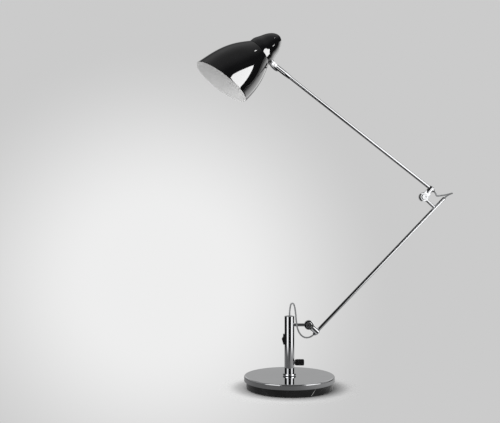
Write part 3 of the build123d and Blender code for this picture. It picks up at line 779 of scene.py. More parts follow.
class GrowthTree:
    """A geometry tree that adds to a piece's own mesh."""

    name: str = ""
    sizes: dict[str, tuple[str, object]] = {}

    def tree(self) -> bpy.types.NodeTree:
        """The tree, built on first use.

        Returns:
            The tree, which ends in plain geometry with its finish.
        """
        found = bpy.data.node_groups.get(self.name)
        if found is not None:
            return found
        tree = bpy.data.node_groups.new(self.name, "GeometryNodeTree")
        tree.interface.new_socket(name="Geometry", in_out="INPUT", socket_type="NodeSocketGeometry")
        for name, (kind, value) in self.sizes.items():
            socket = tree.interface.new_socket(name=name, in_out="INPUT", socket_type=kind)
            socket.default_value = value
        tree.interface.new_socket(name="Finish", in_out="INPUT", socket_type="NodeSocketMaterial")
        tree.interface.new_socket(name="Geometry", in_out="OUTPUT", socket_type="NodeSocketGeometry")
        graph = Graph(tree)
        source = graph.add("NodeGroupInput")
        grown = self.grow(graph, source)
        smooth = graph.add("GeometryNodeSetShadeSmooth", {"Geometry": grown})
        joined = graph.add("GeometryNodeJoinGeometry", {"Geometry": source.outputs["Geometry"]})
        graph.feed(joined.inputs["Geometry"], smooth.outputs[0])
        real = graph.add("GeometryNodeRealizeInstances", {"Geometry": joined.outputs[0]})
        dressed = {"Geometry": real.outputs[0], "Material": source.outputs["Finish"]}
        finished = graph.add("GeometryNodeSetMaterial", dressed)
        graph.add("NodeGroupOutput", {"Geometry": finished.outputs[0]})
        return tree

    def grow(self, graph: Graph, source: bpy.types.Node) -> bpy.types.NodeSocket:
        """Add the nodes that make what is added.

        Args:
            graph: The tree's graph.
            source: The node with the tree's inputs.

        Returns:
            The socket with the added geometry.
        """
        raise NotImplementedError

    def apply(self, core: bpy.types.Mesh, finish: Finish, values: dict[str, object]) -> bpy.types.Mesh:
        """Grow a mesh and take the result as a plain one.

        Args:
            core: The mesh that is added to.
            finish: The finish of the whole.
            values: The sizes, by name.

        Returns:
            The plain mesh.
        """
        holder = bpy.data.objects.new(core.name, core)
        bpy.context.scene.collection.objects.link(holder)
        modifier = holder.modifiers.new("growth", "NODES")
        tree = self.tree()
        modifier.node_group = tree
        for item in tree.interface.items_tree:
            if item.in_out == "INPUT" and item.name in values:
                modifier[item.identifier] = values[item.name]
            if item.in_out == "INPUT" and item.name == "Finish":
                modifier[item.identifier] = finish.material()
        shapes = bpy.context.evaluated_depsgraph_get()
        plain = bpy.data.meshes.new_from_object(holder.evaluated_get(shapes), depsgraph=shapes)
        holder.modifiers.remove(modifier)
        bpy.data.objects.remove(holder)
        return plain


class RingOfBars(GrowthTree):
    """Round bars that stand in a ring, such as the ribs of a grip."""

    name = "Ring of bars"
    sizes = {
        "Count": ("NodeSocketInt", 16),
        "Ring Radius": ("NodeSocketFloat", 0.005),
        "Bar Radius": ("NodeSocketFloat", 0.001),
        "Bar Length": ("NodeSocketFloat", 0.01),
        "Bar Start": ("NodeSocketFloat", 0.0),
    }
    bar_sides: int = 12

    def grow(self, graph: Graph, source: bpy.types.Node) -> bpy.types.NodeSocket:
        """One bar on each point of a ring.

        Args:
            graph: The tree's graph.
            source: The node with the tree's inputs.

        Returns:
            The socket with the bars.
        """
        sizes = source.outputs
        ring_inputs = {"Vertices": sizes["Count"], "Radius": sizes["Ring Radius"]}
        ring = graph.add("GeometryNodeMeshCircle", ring_inputs)
        bar_inputs = {
            "Vertices": self.bar_sides,
            "Radius": sizes["Bar Radius"],
            "Depth": sizes["Bar Length"],
        }
        bar = graph.add("GeometryNodeMeshCylinder", bar_inputs)
        half = graph.calc("MULTIPLY", sizes["Bar Length"], 0.5)
        middle = graph.calc("ADD", sizes["Bar Start"], half)
        lift = graph.add("ShaderNodeCombineXYZ", {"Z": middle})
        lifted_inputs = {"Geometry": bar.outputs["Mesh"], "Translation": lift.outputs[0]}
        lifted = graph.add("GeometryNodeTransform", lifted_inputs)
        placed_inputs = {"Points": ring.outputs[0], "Instance": lifted.outputs[0]}
        placed = graph.add("GeometryNodeInstanceOnPoints", placed_inputs)
        return graph.add("GeometryNodeRealizeInstances", {"Geometry": placed.outputs[0]}).outputs[0]


class ScrewThread(GrowthTree):
    """A round thread wound on a core."""

    name = "Screw thread"
    sizes = {
        "Turns": ("NodeSocketFloat", 5.0),
        "Thread Radius": ("NodeSocketFloat", 0.01),
        "Ridge Radius": ("NodeSocketFloat", 0.0005),
        "Thread Length": ("NodeSocketFloat", 0.01),
    }
    steps_in_turn: int = 56
    ridge_sides: int = 8

    def grow(self, graph: Graph, source: bpy.types.Node) -> bpy.types.NodeSocket:
        """A ridge swept along a spiral.

        Args:
            graph: The tree's graph.
            source: The node with the tree's inputs.

        Returns:
            The socket with the thread.
        """
        sizes = source.outputs
        spiral_inputs = {
            "Resolution": self.steps_in_turn,
            "Rotations": sizes["Turns"],
            "Start Radius": sizes["Thread Radius"],
            "End Radius": sizes["Thread Radius"],
            "Height": sizes["Thread Length"],
        }
        spiral = graph.add("GeometryNodeCurveSpiral", spiral_inputs)
        ridge_inputs = {"Resolution": self.ridge_sides, "Radius": sizes["Ridge Radius"]}
        ridge = graph.add("GeometryNodeCurvePrimitiveCircle", ridge_inputs)
        swept_inputs = {"Curve": spiral.outputs[0], "Profile Curve": ridge.outputs[0], "Fill Caps": True}
        return graph.add("GeometryNodeCurveToMesh", swept_inputs).outputs[0]


RING_OF_BARS = RingOfBars()
SCREW_THREAD = ScrewThread()
OWN_AXIS = TurnAxis((0.0, 0.0, 0.0), (0.0, 0.0, 1.0), (1.0, 0.0, 0.0))
HEAD_AXIS = TurnAxis(
    (-50.47275, 0.01383, 556.01211),
    (0.75901873, 0.15987446, 0.63113447),
    (0.64315151, -0.03339951, -0.7650102),
)
# A direction that no lead starts along
SKEW: Point = (0.31, 0.87, 0.38)


@dataclass
class PhotoCamera:
    """The camera at the viewing angle of the picture that the lamp follows."""

    place: Point = (-65.3, -1355.8, 293.2)
    lens: float = 58.896
    sensor: float = 36.0
    nearest: float = 10.0

    def build(self) -> None:
        """Stand the camera level and make it the scene's own."""
        made = bpy.data.cameras.new("photo_camera")
        made.lens = self.lens
        made.sensor_width = self.sensor
        made.sensor_fit = "HORIZONTAL"
        made.clip_start = self.nearest * METRES
        holder = bpy.data.objects.new("photo_camera", made)
        holder.location = Vector(self.place) * METRES
        holder.rotation_euler = (LEVEL, 0.0, 0.0)
        bpy.context.scene.collection.objects.link(holder)
        bpy.context.scene.camera = holder


@dataclass
class Lead:
    """A thin flexible lead across one joint."""

    node: str
    bodies: tuple[Body, Body]
    route: Sequence[Point]
    bend_from: Point
    bend_to: Point
    length: float
    diameter: float = 2.6
    sides: int = 14
    steps: int = 10
    curve_order: int = 3
    sharp_angle: float = 80.0

    def line(self) -> np.ndarray:
        """The smooth line along the route.

        Returns:
            Points along it, in metres.
        """
        curve = bpy.data.curves.new(self.node + "_line", "CURVE")
        curve.dimensions = "3D"
        curve.resolution_u = self.steps
        spline = curve.splines.new("NURBS")
        spline.points.add(len(self.route) - 1)
        for control, point in zip(spline.points, self.route):
            control.co = (*(Vector(point) * METRES), 1.0)
        spline.order_u = self.curve_order
        spline.use_endpoint_u = True
        holder = bpy.data.objects.new(self.node + "_line", curve)
        bpy.context.scene.collection.objects.link(holder)
        shapes = bpy.context.evaluated_depsgraph_get()
        wire = bpy.data.meshes.new_from_object(holder.evaluated_get(shapes), depsgraph=shapes)
        points = np.array([vertex.co[:] for vertex in wire.vertices])
        bpy.data.objects.remove(holder)
        bpy.data.curves.remove(curve)
        bpy.data.meshes.remove(wire)
        return points

    def tube(self, line: np.ndarray) -> Skin:
        """A round tube along a line.

        Args:
            line: Points along the middle, in metres.

        Returns:
            The tube's skin, in millimetres.
        """
        middle = line / METRES
        along = np.gradient(middle, axis=0)
        along /= np.linalg.norm(along, axis=1)[:, None]
        across = np.cross(along[0], SKEW)
        angle = even_angles(self.sides)
        rows = []
        for point, direction in zip(middle, along):
            across = across - direction * np.dot(across, direction)
            across /= np.linalg.norm(across)
            beside = np.cross(direction, across)
            ring = np.cos(angle)[:, None] * across + np.sin(angle)[:, None] * beside
            rows.append(point + ring * self.diameter / 2)
        return woven(np.array(rows), [0] * len(rows), loop=False)

    def build(self) -> None:
        line = self.line()
        mesh = self.tube(line).mesh(self.node + "_jacket", [LEAD_PVC], self.sharp_angle)
        piece = stand(mesh, self.node + "_jacket")
        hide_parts(self.node)
        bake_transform(piece)
        log.info("%s bends between %s and %s", piece.name, self.bodies[0].value, self.bodies[1].value)


POST_LEAD = Lead(
    "post_lead",
    (Body.POST, Body.LOWER_ARM),
    (
        (0.0, 0.0, 88.51),
        (0.0, 0.0, 124.4),
        (1.2, -0.5, 134.9),
        (2.6, -1.1, 140.9),
        (6.6, -2.7, 141.3),
        (8.6, -3.5, 135.7),
        (10.2, -4.3, 124.4),
        (11.1, -5.0, 110.9),
        (13.2, -4.6, 98.4),
        (18.4, -2.4, 88.9),
        (25.0, 1.0, 84.1),
        (31.6, 4.8, 83.3),
        (38.732, 8.0, 85.503),
        (45.986, 8.0, 93.094),
    ),
    (11.1, -5.0, 110.9),
    (43.0, 4.6, 101.3),
    145.0,
)
ELBOW_LEAD = Lead(
    "elbow_lead",
    (Body.LOWER_ARM, Body.UPPER_ARM),
    (
        (253.804, 8.0, 310.562),
        (261.058, 8.0, 318.153),
        (266.263, 7.0, 321.634),
        (270.263, 2.6, 323.434),
        (268.663, -3.4, 323.234),
        (262.463, -7.4, 321.834),
        (255.063, -8.4, 320.234),
        (247.863, -6.6, 319.234),
        (242.463, -3.6, 318.434),
        (242.138, 0.0, 324.815),
        (233.898, 0.0, 331.322),
    ),
    (264.5, 2.0, 321.83),
    (252.5, -7.6, 329.03),
    73.3,
)


@dataclass
class Head:
    """The bell shade, its cap and the lead that runs into it."""

    axis: TurnAxis = HEAD_AXIS
    seam_radius: float = 24.8
    wall: float = 1.0
    edge_round: float = 0.35
    bell_knots: tuple[Span, ...] = ((24.8, 0.0), (37.7, -24.5), (46.4, -55.0), (51.31, -106.02))
    bell_directions: tuple[Span, Span] = ((0.58, -1.0), (0.12, -1.0))
    bell_steps: int = 400
    bell_length: float = 81.0
    mouth_slant: float = 13.8
    mouth_tries: int = 30
    holder_bore: float = 14.5
    outer_rings: int = 44
    rim_rings: int = 5
    inner_rings: int = 36
    around: int = 160
    cap_knots: tuple[Span, ...] = ((24.8, 7.0), (21.5, 17.5), (17.0, 30.5), (0.0, 45.5))
    cap_directions: tuple[Span, Span] = ((-0.15, 1.0), (-1.0, 0.0))
    cap_steps: int = 40
    cap_around: int = 112
    crown_tip: float = 0.25
    inner_tip: float = 0.2
    lug_height: float = 7.1
    sleeve_back: Point = (-16.289, 0.0, 528.909)
    lead_straight: float = 8.5
    lead_bulge: Point = (36.5, 18.5, 7.4)
    lead_run_in: float = 4.5
    lead_length: float = 42.0
    lead_angle: float = 40.0

    def bell_radius(self, depth: np.ndarray) -> np.ndarray:
        """The bell's outer radius at depths below the seam."""
        line = smooth_line(self.bell_knots, *self.bell_directions, self.bell_steps)
        return np.interp(depth, -line[:, 1], line[:, 0])

    def mouth_depth(self, angle: np.ndarray, inset: float) -> np.ndarray:
        """Where the wall meets the slanted mouth.

        Args:
            angle: Angles round the axis.
            inset: How far inside the outer face the wall is taken.

        Returns:
            The depths.
        """
        slope = math.tan(math.radians(self.mouth_slant))
        depth = np.full_like(angle, self.bell_length)
        for _ in range(self.mouth_tries):
            depth = self.bell_length - (self.bell_radius(depth) - inset) * np.cos(angle) * slope
        return depth

    def wall_rows(
        self, angle: np.ndarray, inset: float, first: float, short: float, count: int
    ) -> np.ndarray:
        """Rings of a wall, the last one along the slanted mouth.

        Args:
            angle: Angles round the axis.
            inset: How far inside the outer face the wall is.
            first: The depth of the first ring.
            short: How far short of the mouth the last ring stops.
            count: How many rings there are.

        Returns:
            The rings, as rings by points by radius and height.
        """
        last = self.mouth_depth(angle, inset) - short
        share = np.linspace(0.0, 1.0, count)[:, None]
        depth = first + share * (last - first)
        return np.stack([self.bell_radius(depth) - inset, -depth], axis=2)

    def rim_rows(self, angle: np.ndarray, count: int) -> np.ndarray:
        """Rings over the rounded rim, from the outer wall to the inner one.

        Args:
            angle: Angles round the axis.
            count: How many rings there are.

        Returns:
            The rings, as rings by points by radius and height.
        """
        half = self.wall / 2
        depth = self.mouth_depth(angle, half) - half
        middle = self.bell_radius(depth) - half
        turn = np.linspace(0.0, math.pi, count + 2)[1:-1, None]
        return np.stack([middle + half * np.cos(turn), -(depth + half * np.sin(turn))], axis=2)

    def shade(self) -> bpy.types.Object:
        """The bell: black outside, white inside and over its rim.

        Returns:
            The piece.
        """
        angle = even_angles(self.around)
        half = self.wall / 2
        outer = self.wall_rows(angle, 0.0, self.edge_round, half, self.outer_rings)
        rim = self.rim_rows(angle, self.rim_rings)
        inner = self.wall_rows(angle, self.wall, self.wall, half, self.inner_rings)[::-1]
        flat = []
        for radius, height in (
            (self.holder_bore, -self.wall),
            (self.holder_bore, 0.0),
            (self.seam_radius - self.edge_round, 0.0),
        ):
            flat.append(np.repeat([[radius, height]], self.around, axis=0))
        pairs = np.concatenate([outer, rim, inner, np.array(flat)])
        rows = self.axis.place(pairs[..., 0], pairs[..., 1], angle)
        black = len(outer) + 1
        bands = [0] * black + [1] * (len(rim) + len(inner) - 1) + [0] * len(flat)
        mesh = woven(rows, bands, loop=True).mesh("bell_shade", [BLACK_ENAMEL, WHITE_ENAMEL])
        piece = stand(mesh, "bell_shade")
        settle(piece, Body.HEAD, "shade")
        return piece

    def cap(self) -> bpy.types.Object:
        """The domed cap over the lamp holder.

        Returns:
            The piece.
        """
        crown = smooth_line(self.cap_knots, *self.cap_directions, self.cap_steps)
        top = float(crown[-1, 1])
        lower = [(self.seam_radius - self.edge_round, 0.0), (self.seam_radius, self.edge_round)]
        outside = lower + [tuple(pair) for pair in crown[:-1]] + [(self.crown_tip, top)]
        inside = [(max(radius - self.wall, self.inner_tip), height) for radius, height in crown[:-3]]
        inside.append((self.inner_tip, top - self.wall))
        bottom = [(self.seam_radius - self.wall, 0.0)]
        skin = turned(outside + inside[::-1] + bottom, self.axis, around=self.cap_around)
        piece = stand(skin.mesh("shade_cap", [BLACK_ENAMEL]), "shade_cap")
        settle(piece, Body.HEAD, "cap")
        return piece

    def lead(self) -> None:
        """The lead from the back of the sleeve into the cap."""
        seam, up, out = (np.array(part) for part in (self.axis.origin, self.axis.up, self.axis.out))
        tilt = self.axis.side
        start = np.array(self.sleeve_back)
        turn = math.radians(self.lead_angle)
        outward = out * math.cos(turn) + tilt * math.sin(turn)
        entry = seam + up * self.lug_height + outward * self.seam_radius
        bulge_out, bulge_back, bulge_up = self.lead_bulge
        route = (
            start,
            start + tilt * self.lead_straight,
            seam + out * bulge_out + tilt * bulge_back + up * bulge_up,
            entry + outward * self.lead_run_in,
            entry - outward * self.lead_run_in,
        )
        points = tuple(tuple(float(value) for value in point) for point in route)
        Lead("head_lead", (Body.SLEEVE, Body.HEAD), points, points[1], points[3], self.lead_length).build()

    def build(self) -> list[bpy.types.Object]:
        """Make the shade and its cap, which are the pieces in black gloss enamel."""
        return [self.shade(), self.cap()]


@dataclass
class ShadeLamp:
    """The lamp holder in the shade, the ring that clamps the shade to it, and the bulb."""

    axis: TurnAxis = HEAD_AXIS
    shade_wall: float = 1.0
    axis_gap: float = 0.3
    skirt_radius: float = 14.0
    skirt_length: float = 16.0
    socket_radius: float = 7.2
    socket_floor: float = 6.0
    thread_height: float = 0.5
    thread_ridge: float = 0.45
    thread_turns: float = 6.0
    thread_length: float = 12.6
    thread_start: float = 1.2
    flange_radius: float = 17.5
    flange_thickness: float = 1.2
    flange_round: float = 0.3
    body_radius: float = 10.5
    body_height: float = 25.0
    body_round: float = 0.6
    ring_radius: float = 18.0
    ring_height: float = 5.0
    ring_play: float = 0.05
    ring_groove: float = 0.6
    ring_rounds: Span = (0.5, 0.3)
    ring_around: int = 96
    rib_count: int = 36
    rib_radius: float = 0.7
    rib_inset: float = 0.75
    rib_start: float = 0.6
    rib_short: float = 1.0
    globe_radius: float = 21.0
    globe_depth: float = 40.0
    globe_neck: float = 8.0
    globe_wall: float = 0.9
    globe_foot: float = 0.02
    globe_steps: tuple[int, int] = (40, 36)

    def holder(self) -> None:
        """The lamp holder: a threaded skirt, a flange and a body."""
        depth = self.skirt_length
        root = self.skirt_radius - self.thread_height
        core = [
            (self.socket_radius, self.socket_floor),
            (self.socket_radius, -depth),
            (root - self.thread_height, -depth),
            (root, self.thread_height - depth),
            (root, 0.0),
            (self.flange_radius - self.flange_round, 0.0),
            (self.flange_radius, self.flange_round),
            (self.flange_radius, self.flange_thickness - self.flange_round),
            (self.flange_radius - self.flange_round, self.flange_thickness),
            (self.body_radius, self.flange_thickness),
            (self.body_radius, self.body_height - self.body_round),
            (self.body_radius - self.body_round, self.body_height),
            (self.axis_gap, self.body_height),
            (self.axis_gap, self.socket_floor),
        ]
        shifted = turned(core, OWN_AXIS).mesh("lamp_holder_core", [HOLDER_PLASTIC])
        foot = self.thread_start - depth
        shifted.transform(Matrix.Translation((0.0, 0.0, -foot * METRES)))
        sizes = {
            "Turns": self.thread_turns,
            "Thread Radius": root * METRES,
            "Ridge Radius": self.thread_ridge * METRES,
            "Thread Length": self.thread_length * METRES,
        }
        mesh = SCREW_THREAD.apply(shifted, HOLDER_PLASTIC, sizes)
        mesh.transform(self.axis.matrix(foot))
        settle(stand(mesh, "threaded_holder"), Body.HEAD, "lamp_holder")

    def ring(self) -> None:
        """The ribbed ring that clamps the shade to the holder."""
        bore = self.skirt_radius + self.ring_play
        root = self.ring_radius - self.ring_groove
        lower, upper = self.ring_rounds
        core = [
            (bore, 0.0),
            (root - lower, 0.0),
            (root, lower),
            (root, self.ring_height - upper),
            (root - upper, self.ring_height),
            (bore, self.ring_height),
        ]
        mesh = turned(core, OWN_AXIS, around=self.ring_around).mesh("ring_core", [HOLDER_PLASTIC])
        sizes = {
            "Count": self.rib_count,
            "Ring Radius": (self.ring_radius - self.rib_inset) * METRES,
            "Bar Radius": self.rib_radius * METRES,
            "Bar Length": (self.ring_height - self.rib_short) * METRES,
            "Bar Start": self.rib_start * METRES,
        }
        grown = RING_OF_BARS.apply(mesh, HOLDER_PLASTIC, sizes)
        grown.transform(self.axis.matrix(-self.shade_wall - self.ring_height))
        settle(stand(grown, "ribbed_shade_ring"), Body.HEAD, "shade_ring")

    def globe_line(self, inset: float, steps: int) -> list[Span]:
        """The globe's profile from its foot to the end of its neck.

        Args:
            inset: How far inside the outer face it is taken.
            steps: How many points the round part has.

        Returns:
            Pairs of radius and height.
        """
        radius = self.globe_radius - inset
        neck = self.globe_neck - inset
        sweep = np.linspace(self.globe_foot, math.pi - math.asin(neck / radius), steps)
        line = [(radius * math.sin(angle), -self.globe_depth - radius * math.cos(angle)) for angle in sweep]
        return line + [(neck, -self.skirt_length)]

    def bulb(self) -> None:
        """The opal globe with its neck, open where it meets the base."""
        outer_steps, inner_steps = self.globe_steps
        outside = self.globe_line(0.0, outer_steps)
        inside = self.globe_line(self.globe_wall, inner_steps)
        mesh = turned(outside + inside[::-1], self.axis).mesh("bulb_globe", [OPAL_GLASS])
        settle(stand(mesh, "bulb_globe"), Body.HEAD, "bulb_glass")

    def build(self) -> None:
        """Make the holder, the ring and the bulb."""
        self.holder()
        self.ring()
        self.bulb()


@dataclass
class Thumbscrew:
    """The fluted knob that clamps the post."""

    axis: TurnAxis = TurnAxis((9.5, 0.0, 43.2), (1.0, 0.0, 0.0), (0.0, 1.0, 0.0))
    length: float = 14.8
    radius: float = 5.3
    neck_radius: float = 4.9
    neck_length: float = 2.0
    neck_round: float = 0.4
    neck_flare: float = 0.6
    end_round: tuple[Span, ...] = ((0.0, 0.9), (0.7, 0.2), (1.4, 0.0))
    dimple_radius: float = 1.6
    dimple_depth: float = 0.35
    axis_gap: float = 0.3
    flutes: int = 16
    flute_depth: float = 0.55
    rib_radius: float = 0.75
    rib_ends: Span = (0.1, 0.6)
    around: int = 64

    def build(self) -> None:
        """Make the knob from a turned core and a ring of ribs."""
        root = self.radius - self.flute_depth
        dimple = self.length - self.dimple_depth
        core = [
            (self.axis_gap, 0.0),
            (self.neck_radius - self.neck_round, 0.0),
            (self.neck_radius, self.neck_round),
            (self.neck_radius, self.neck_length - self.neck_flare),
            (root, self.neck_length),
            *((root - inset, self.length - short) for inset, short in self.end_round),
            (self.dimple_radius, dimple),
            (self.axis_gap, dimple),
        ]
        mesh = turned(core, OWN_AXIS, loop=False, around=self.around).mesh("knob_core", [BLACK_PLASTIC])
        sizes = {
            "Count": self.flutes,
            "Ring Radius": (self.radius - self.rib_radius) * METRES,
            "Bar Radius": self.rib_radius * METRES,
            "Bar Length": (self.length - self.neck_length - sum(self.rib_ends)) * METRES,
            "Bar Start": (self.neck_length + self.rib_ends[0]) * METRES,
        }
        grown = RING_OF_BARS.apply(mesh, BLACK_PLASTIC, sizes)
        grown.transform(self.axis.matrix())
        settle(stand(grown, "fluted_knob"), Body.THUMBSCREW, "thumbscrew_knob")


class Lit(Enum):
    """The groups of pieces that soft panels are set for."""

    SHADE = "gloss_black_shade"
    STAND = "bright_stand"
    PLATE = "bright_plate"
    COLLAR = "bright_collar"
    SHOULDER = "bright_shoulder"
    ARMS = "bright_arms"


@dataclass
class Hardware:
    """The turned and moulded pieces whose shapes come with the frame."""

    finish_of: dict[str, Finish] = field(
        default_factory=lambda: {
            "base_pad": FELT,
            "marble_disc": BLACK_MARBLE,
            "cord_bush": BLACK_PLASTIC,
            "base_plate": CHROME,
            "post_spigot": ZINC,
            "spigot_washer": ZINC,
            "spigot_nut": ZINC,
            "post_collar": CHROME,
            "post_tube": CHROME,
            "post_top_bush": BLACK_PLASTIC,
            "switch_bezel": BLACK_PLASTIC,
            "switch_body": BLACK_PLASTIC,
            "switch_rocker": BLACK_PLASTIC,
            "screw_boss": CHROME,
            "thumbscrew_shank": ZINC,
            "shoulder_stub": CHROME,
            "stub_nut": ZINC,
            "shoulder_screw": SATIN_CHROME,
            "shoulder_washer": NYLON,
            "shoulder_nut": CHROME,
            "lower_tee": CHROME,
            "lower_rod": CHROME,
            "lower_rod_foot_bush": BLACK_PLASTIC,
            "lower_rod_top_bush": BLACK_PLASTIC,
            "elbow_stub": CHROME,
            "elbow_washer": NYLON,
            "elbow_screw": SATIN_CHROME,
            "elbow_nut": CHROME,
            "upper_tee": CHROME,
            "upper_rod": CHROME,
            "upper_rod_bush": BLACK_PLASTIC,
            "stop_collar": CHROME,
            "swivel_sleeve": CHROME,
            "tilt_pin": CHROME,
            "head_lug": CHROME,
            "lug_bracket": ZINC,
            "lug_nut": ZINC,
            "bulb_base": BRASS,
        }
    )
    lit_pieces: dict[Lit, tuple[str, ...]] = field(
        default_factory=lambda: {
            Lit.STAND: ("base_plate", "post_tube", "screw_boss"),
            Lit.PLATE: ("base_plate",),
            Lit.COLLAR: ("post_collar",),
            Lit.SHOULDER: ("shoulder_stub", "shoulder_screw", "shoulder_nut", "lower_tee"),
        }
    )

    def dress(self) -> dict[Lit, list[bpy.types.Object]]:
        """Give each piece its finish.

        Returns:
            The bright pieces, by the group that panels are set for.
        """
        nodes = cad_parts
        groups = {lit: [nodes[name] for name in names] for lit, names in self.lit_pieces.items()}
        grouped = {name for names in self.lit_pieces.values() for name in names}
        groups[Lit.ARMS] = []
        for name, finish in self.finish_of.items():
            for slot in nodes[name].material_slots:
                slot.material = finish.material()
            if finish.metallic and name not in grouped:
                groups[Lit.ARMS].append(nodes[name])
            log.info("%s has %s", name, finish.name)
        return groups


# Power of one square metre of a panel at a radiance of 1
PANEL_POWER = 4.0


@dataclass(frozen=True)
class Panel:
    """A flat soft light that faces the lamp and shows only in the gloss of its own group of pieces.

    Its azimuth is in degrees, and its height and distance are in metres.
    """

    name: str
    lit: Lit
    azimuth: Span
    height: Span
    distance: float
    radiance: float

    def build(self, receivers: bpy.types.Collection) -> None:
        """Hang the panel round the lamp, azimuth 0 being towards the viewer.

        Args:
            receivers: The pieces that it lights.
        """
        middle = math.radians(sum(self.azimuth) / 2)
        width = 2.0 * self.distance * math.tan(math.radians((self.azimuth[1] - self.azimuth[0]) / 2))
        tall = self.height[1] - self.height[0]
        made = bpy.data.lights.new(self.name, "AREA")
        made.shape = "RECTANGLE"
        made.size = width
        made.size_y = tall
        made.energy = PANEL_POWER * width * tall * self.radiance
        holder = bpy.data.objects.new(self.name, made)
        across, back = self.distance * math.sin(middle), -self.distance * math.cos(middle)
        holder.location = (across, back, sum(self.height) / 2)
        holder.rotation_euler = (LEVEL, 0.0, middle)
        holder.visible_camera = False
        holder.visible_diffuse = False
        holder.light_linking.receiver_collection = receivers
        bpy.context.scene.collection.objects.link(holder)


@dataclass(frozen=True)
class SoftLight:
    """A broad light for the matt surfaces, placed and sized in metres."""

    name: str
    place: Point
    aim: Point
    energy: float
    size: Span = (1.3, 1.1)

    def build(self) -> None:
        """Hang the light so that it faces its aim."""
        made = bpy.data.lights.new(self.name, "AREA")
        made.shape = "RECTANGLE"
        made.size, made.size_y = self.size
        made.energy = self.energy
        holder = bpy.data.objects.new(self.name, made)
        holder.location = self.place
        towards = Vector(self.aim) - holder.location
        holder.rotation_euler = towards.to_track_quat("-Z", "Y").to_euler()
        holder.visible_camera = False
        holder.visible_glossy = False
        bpy.context.scene.collection.objects.link(holder)


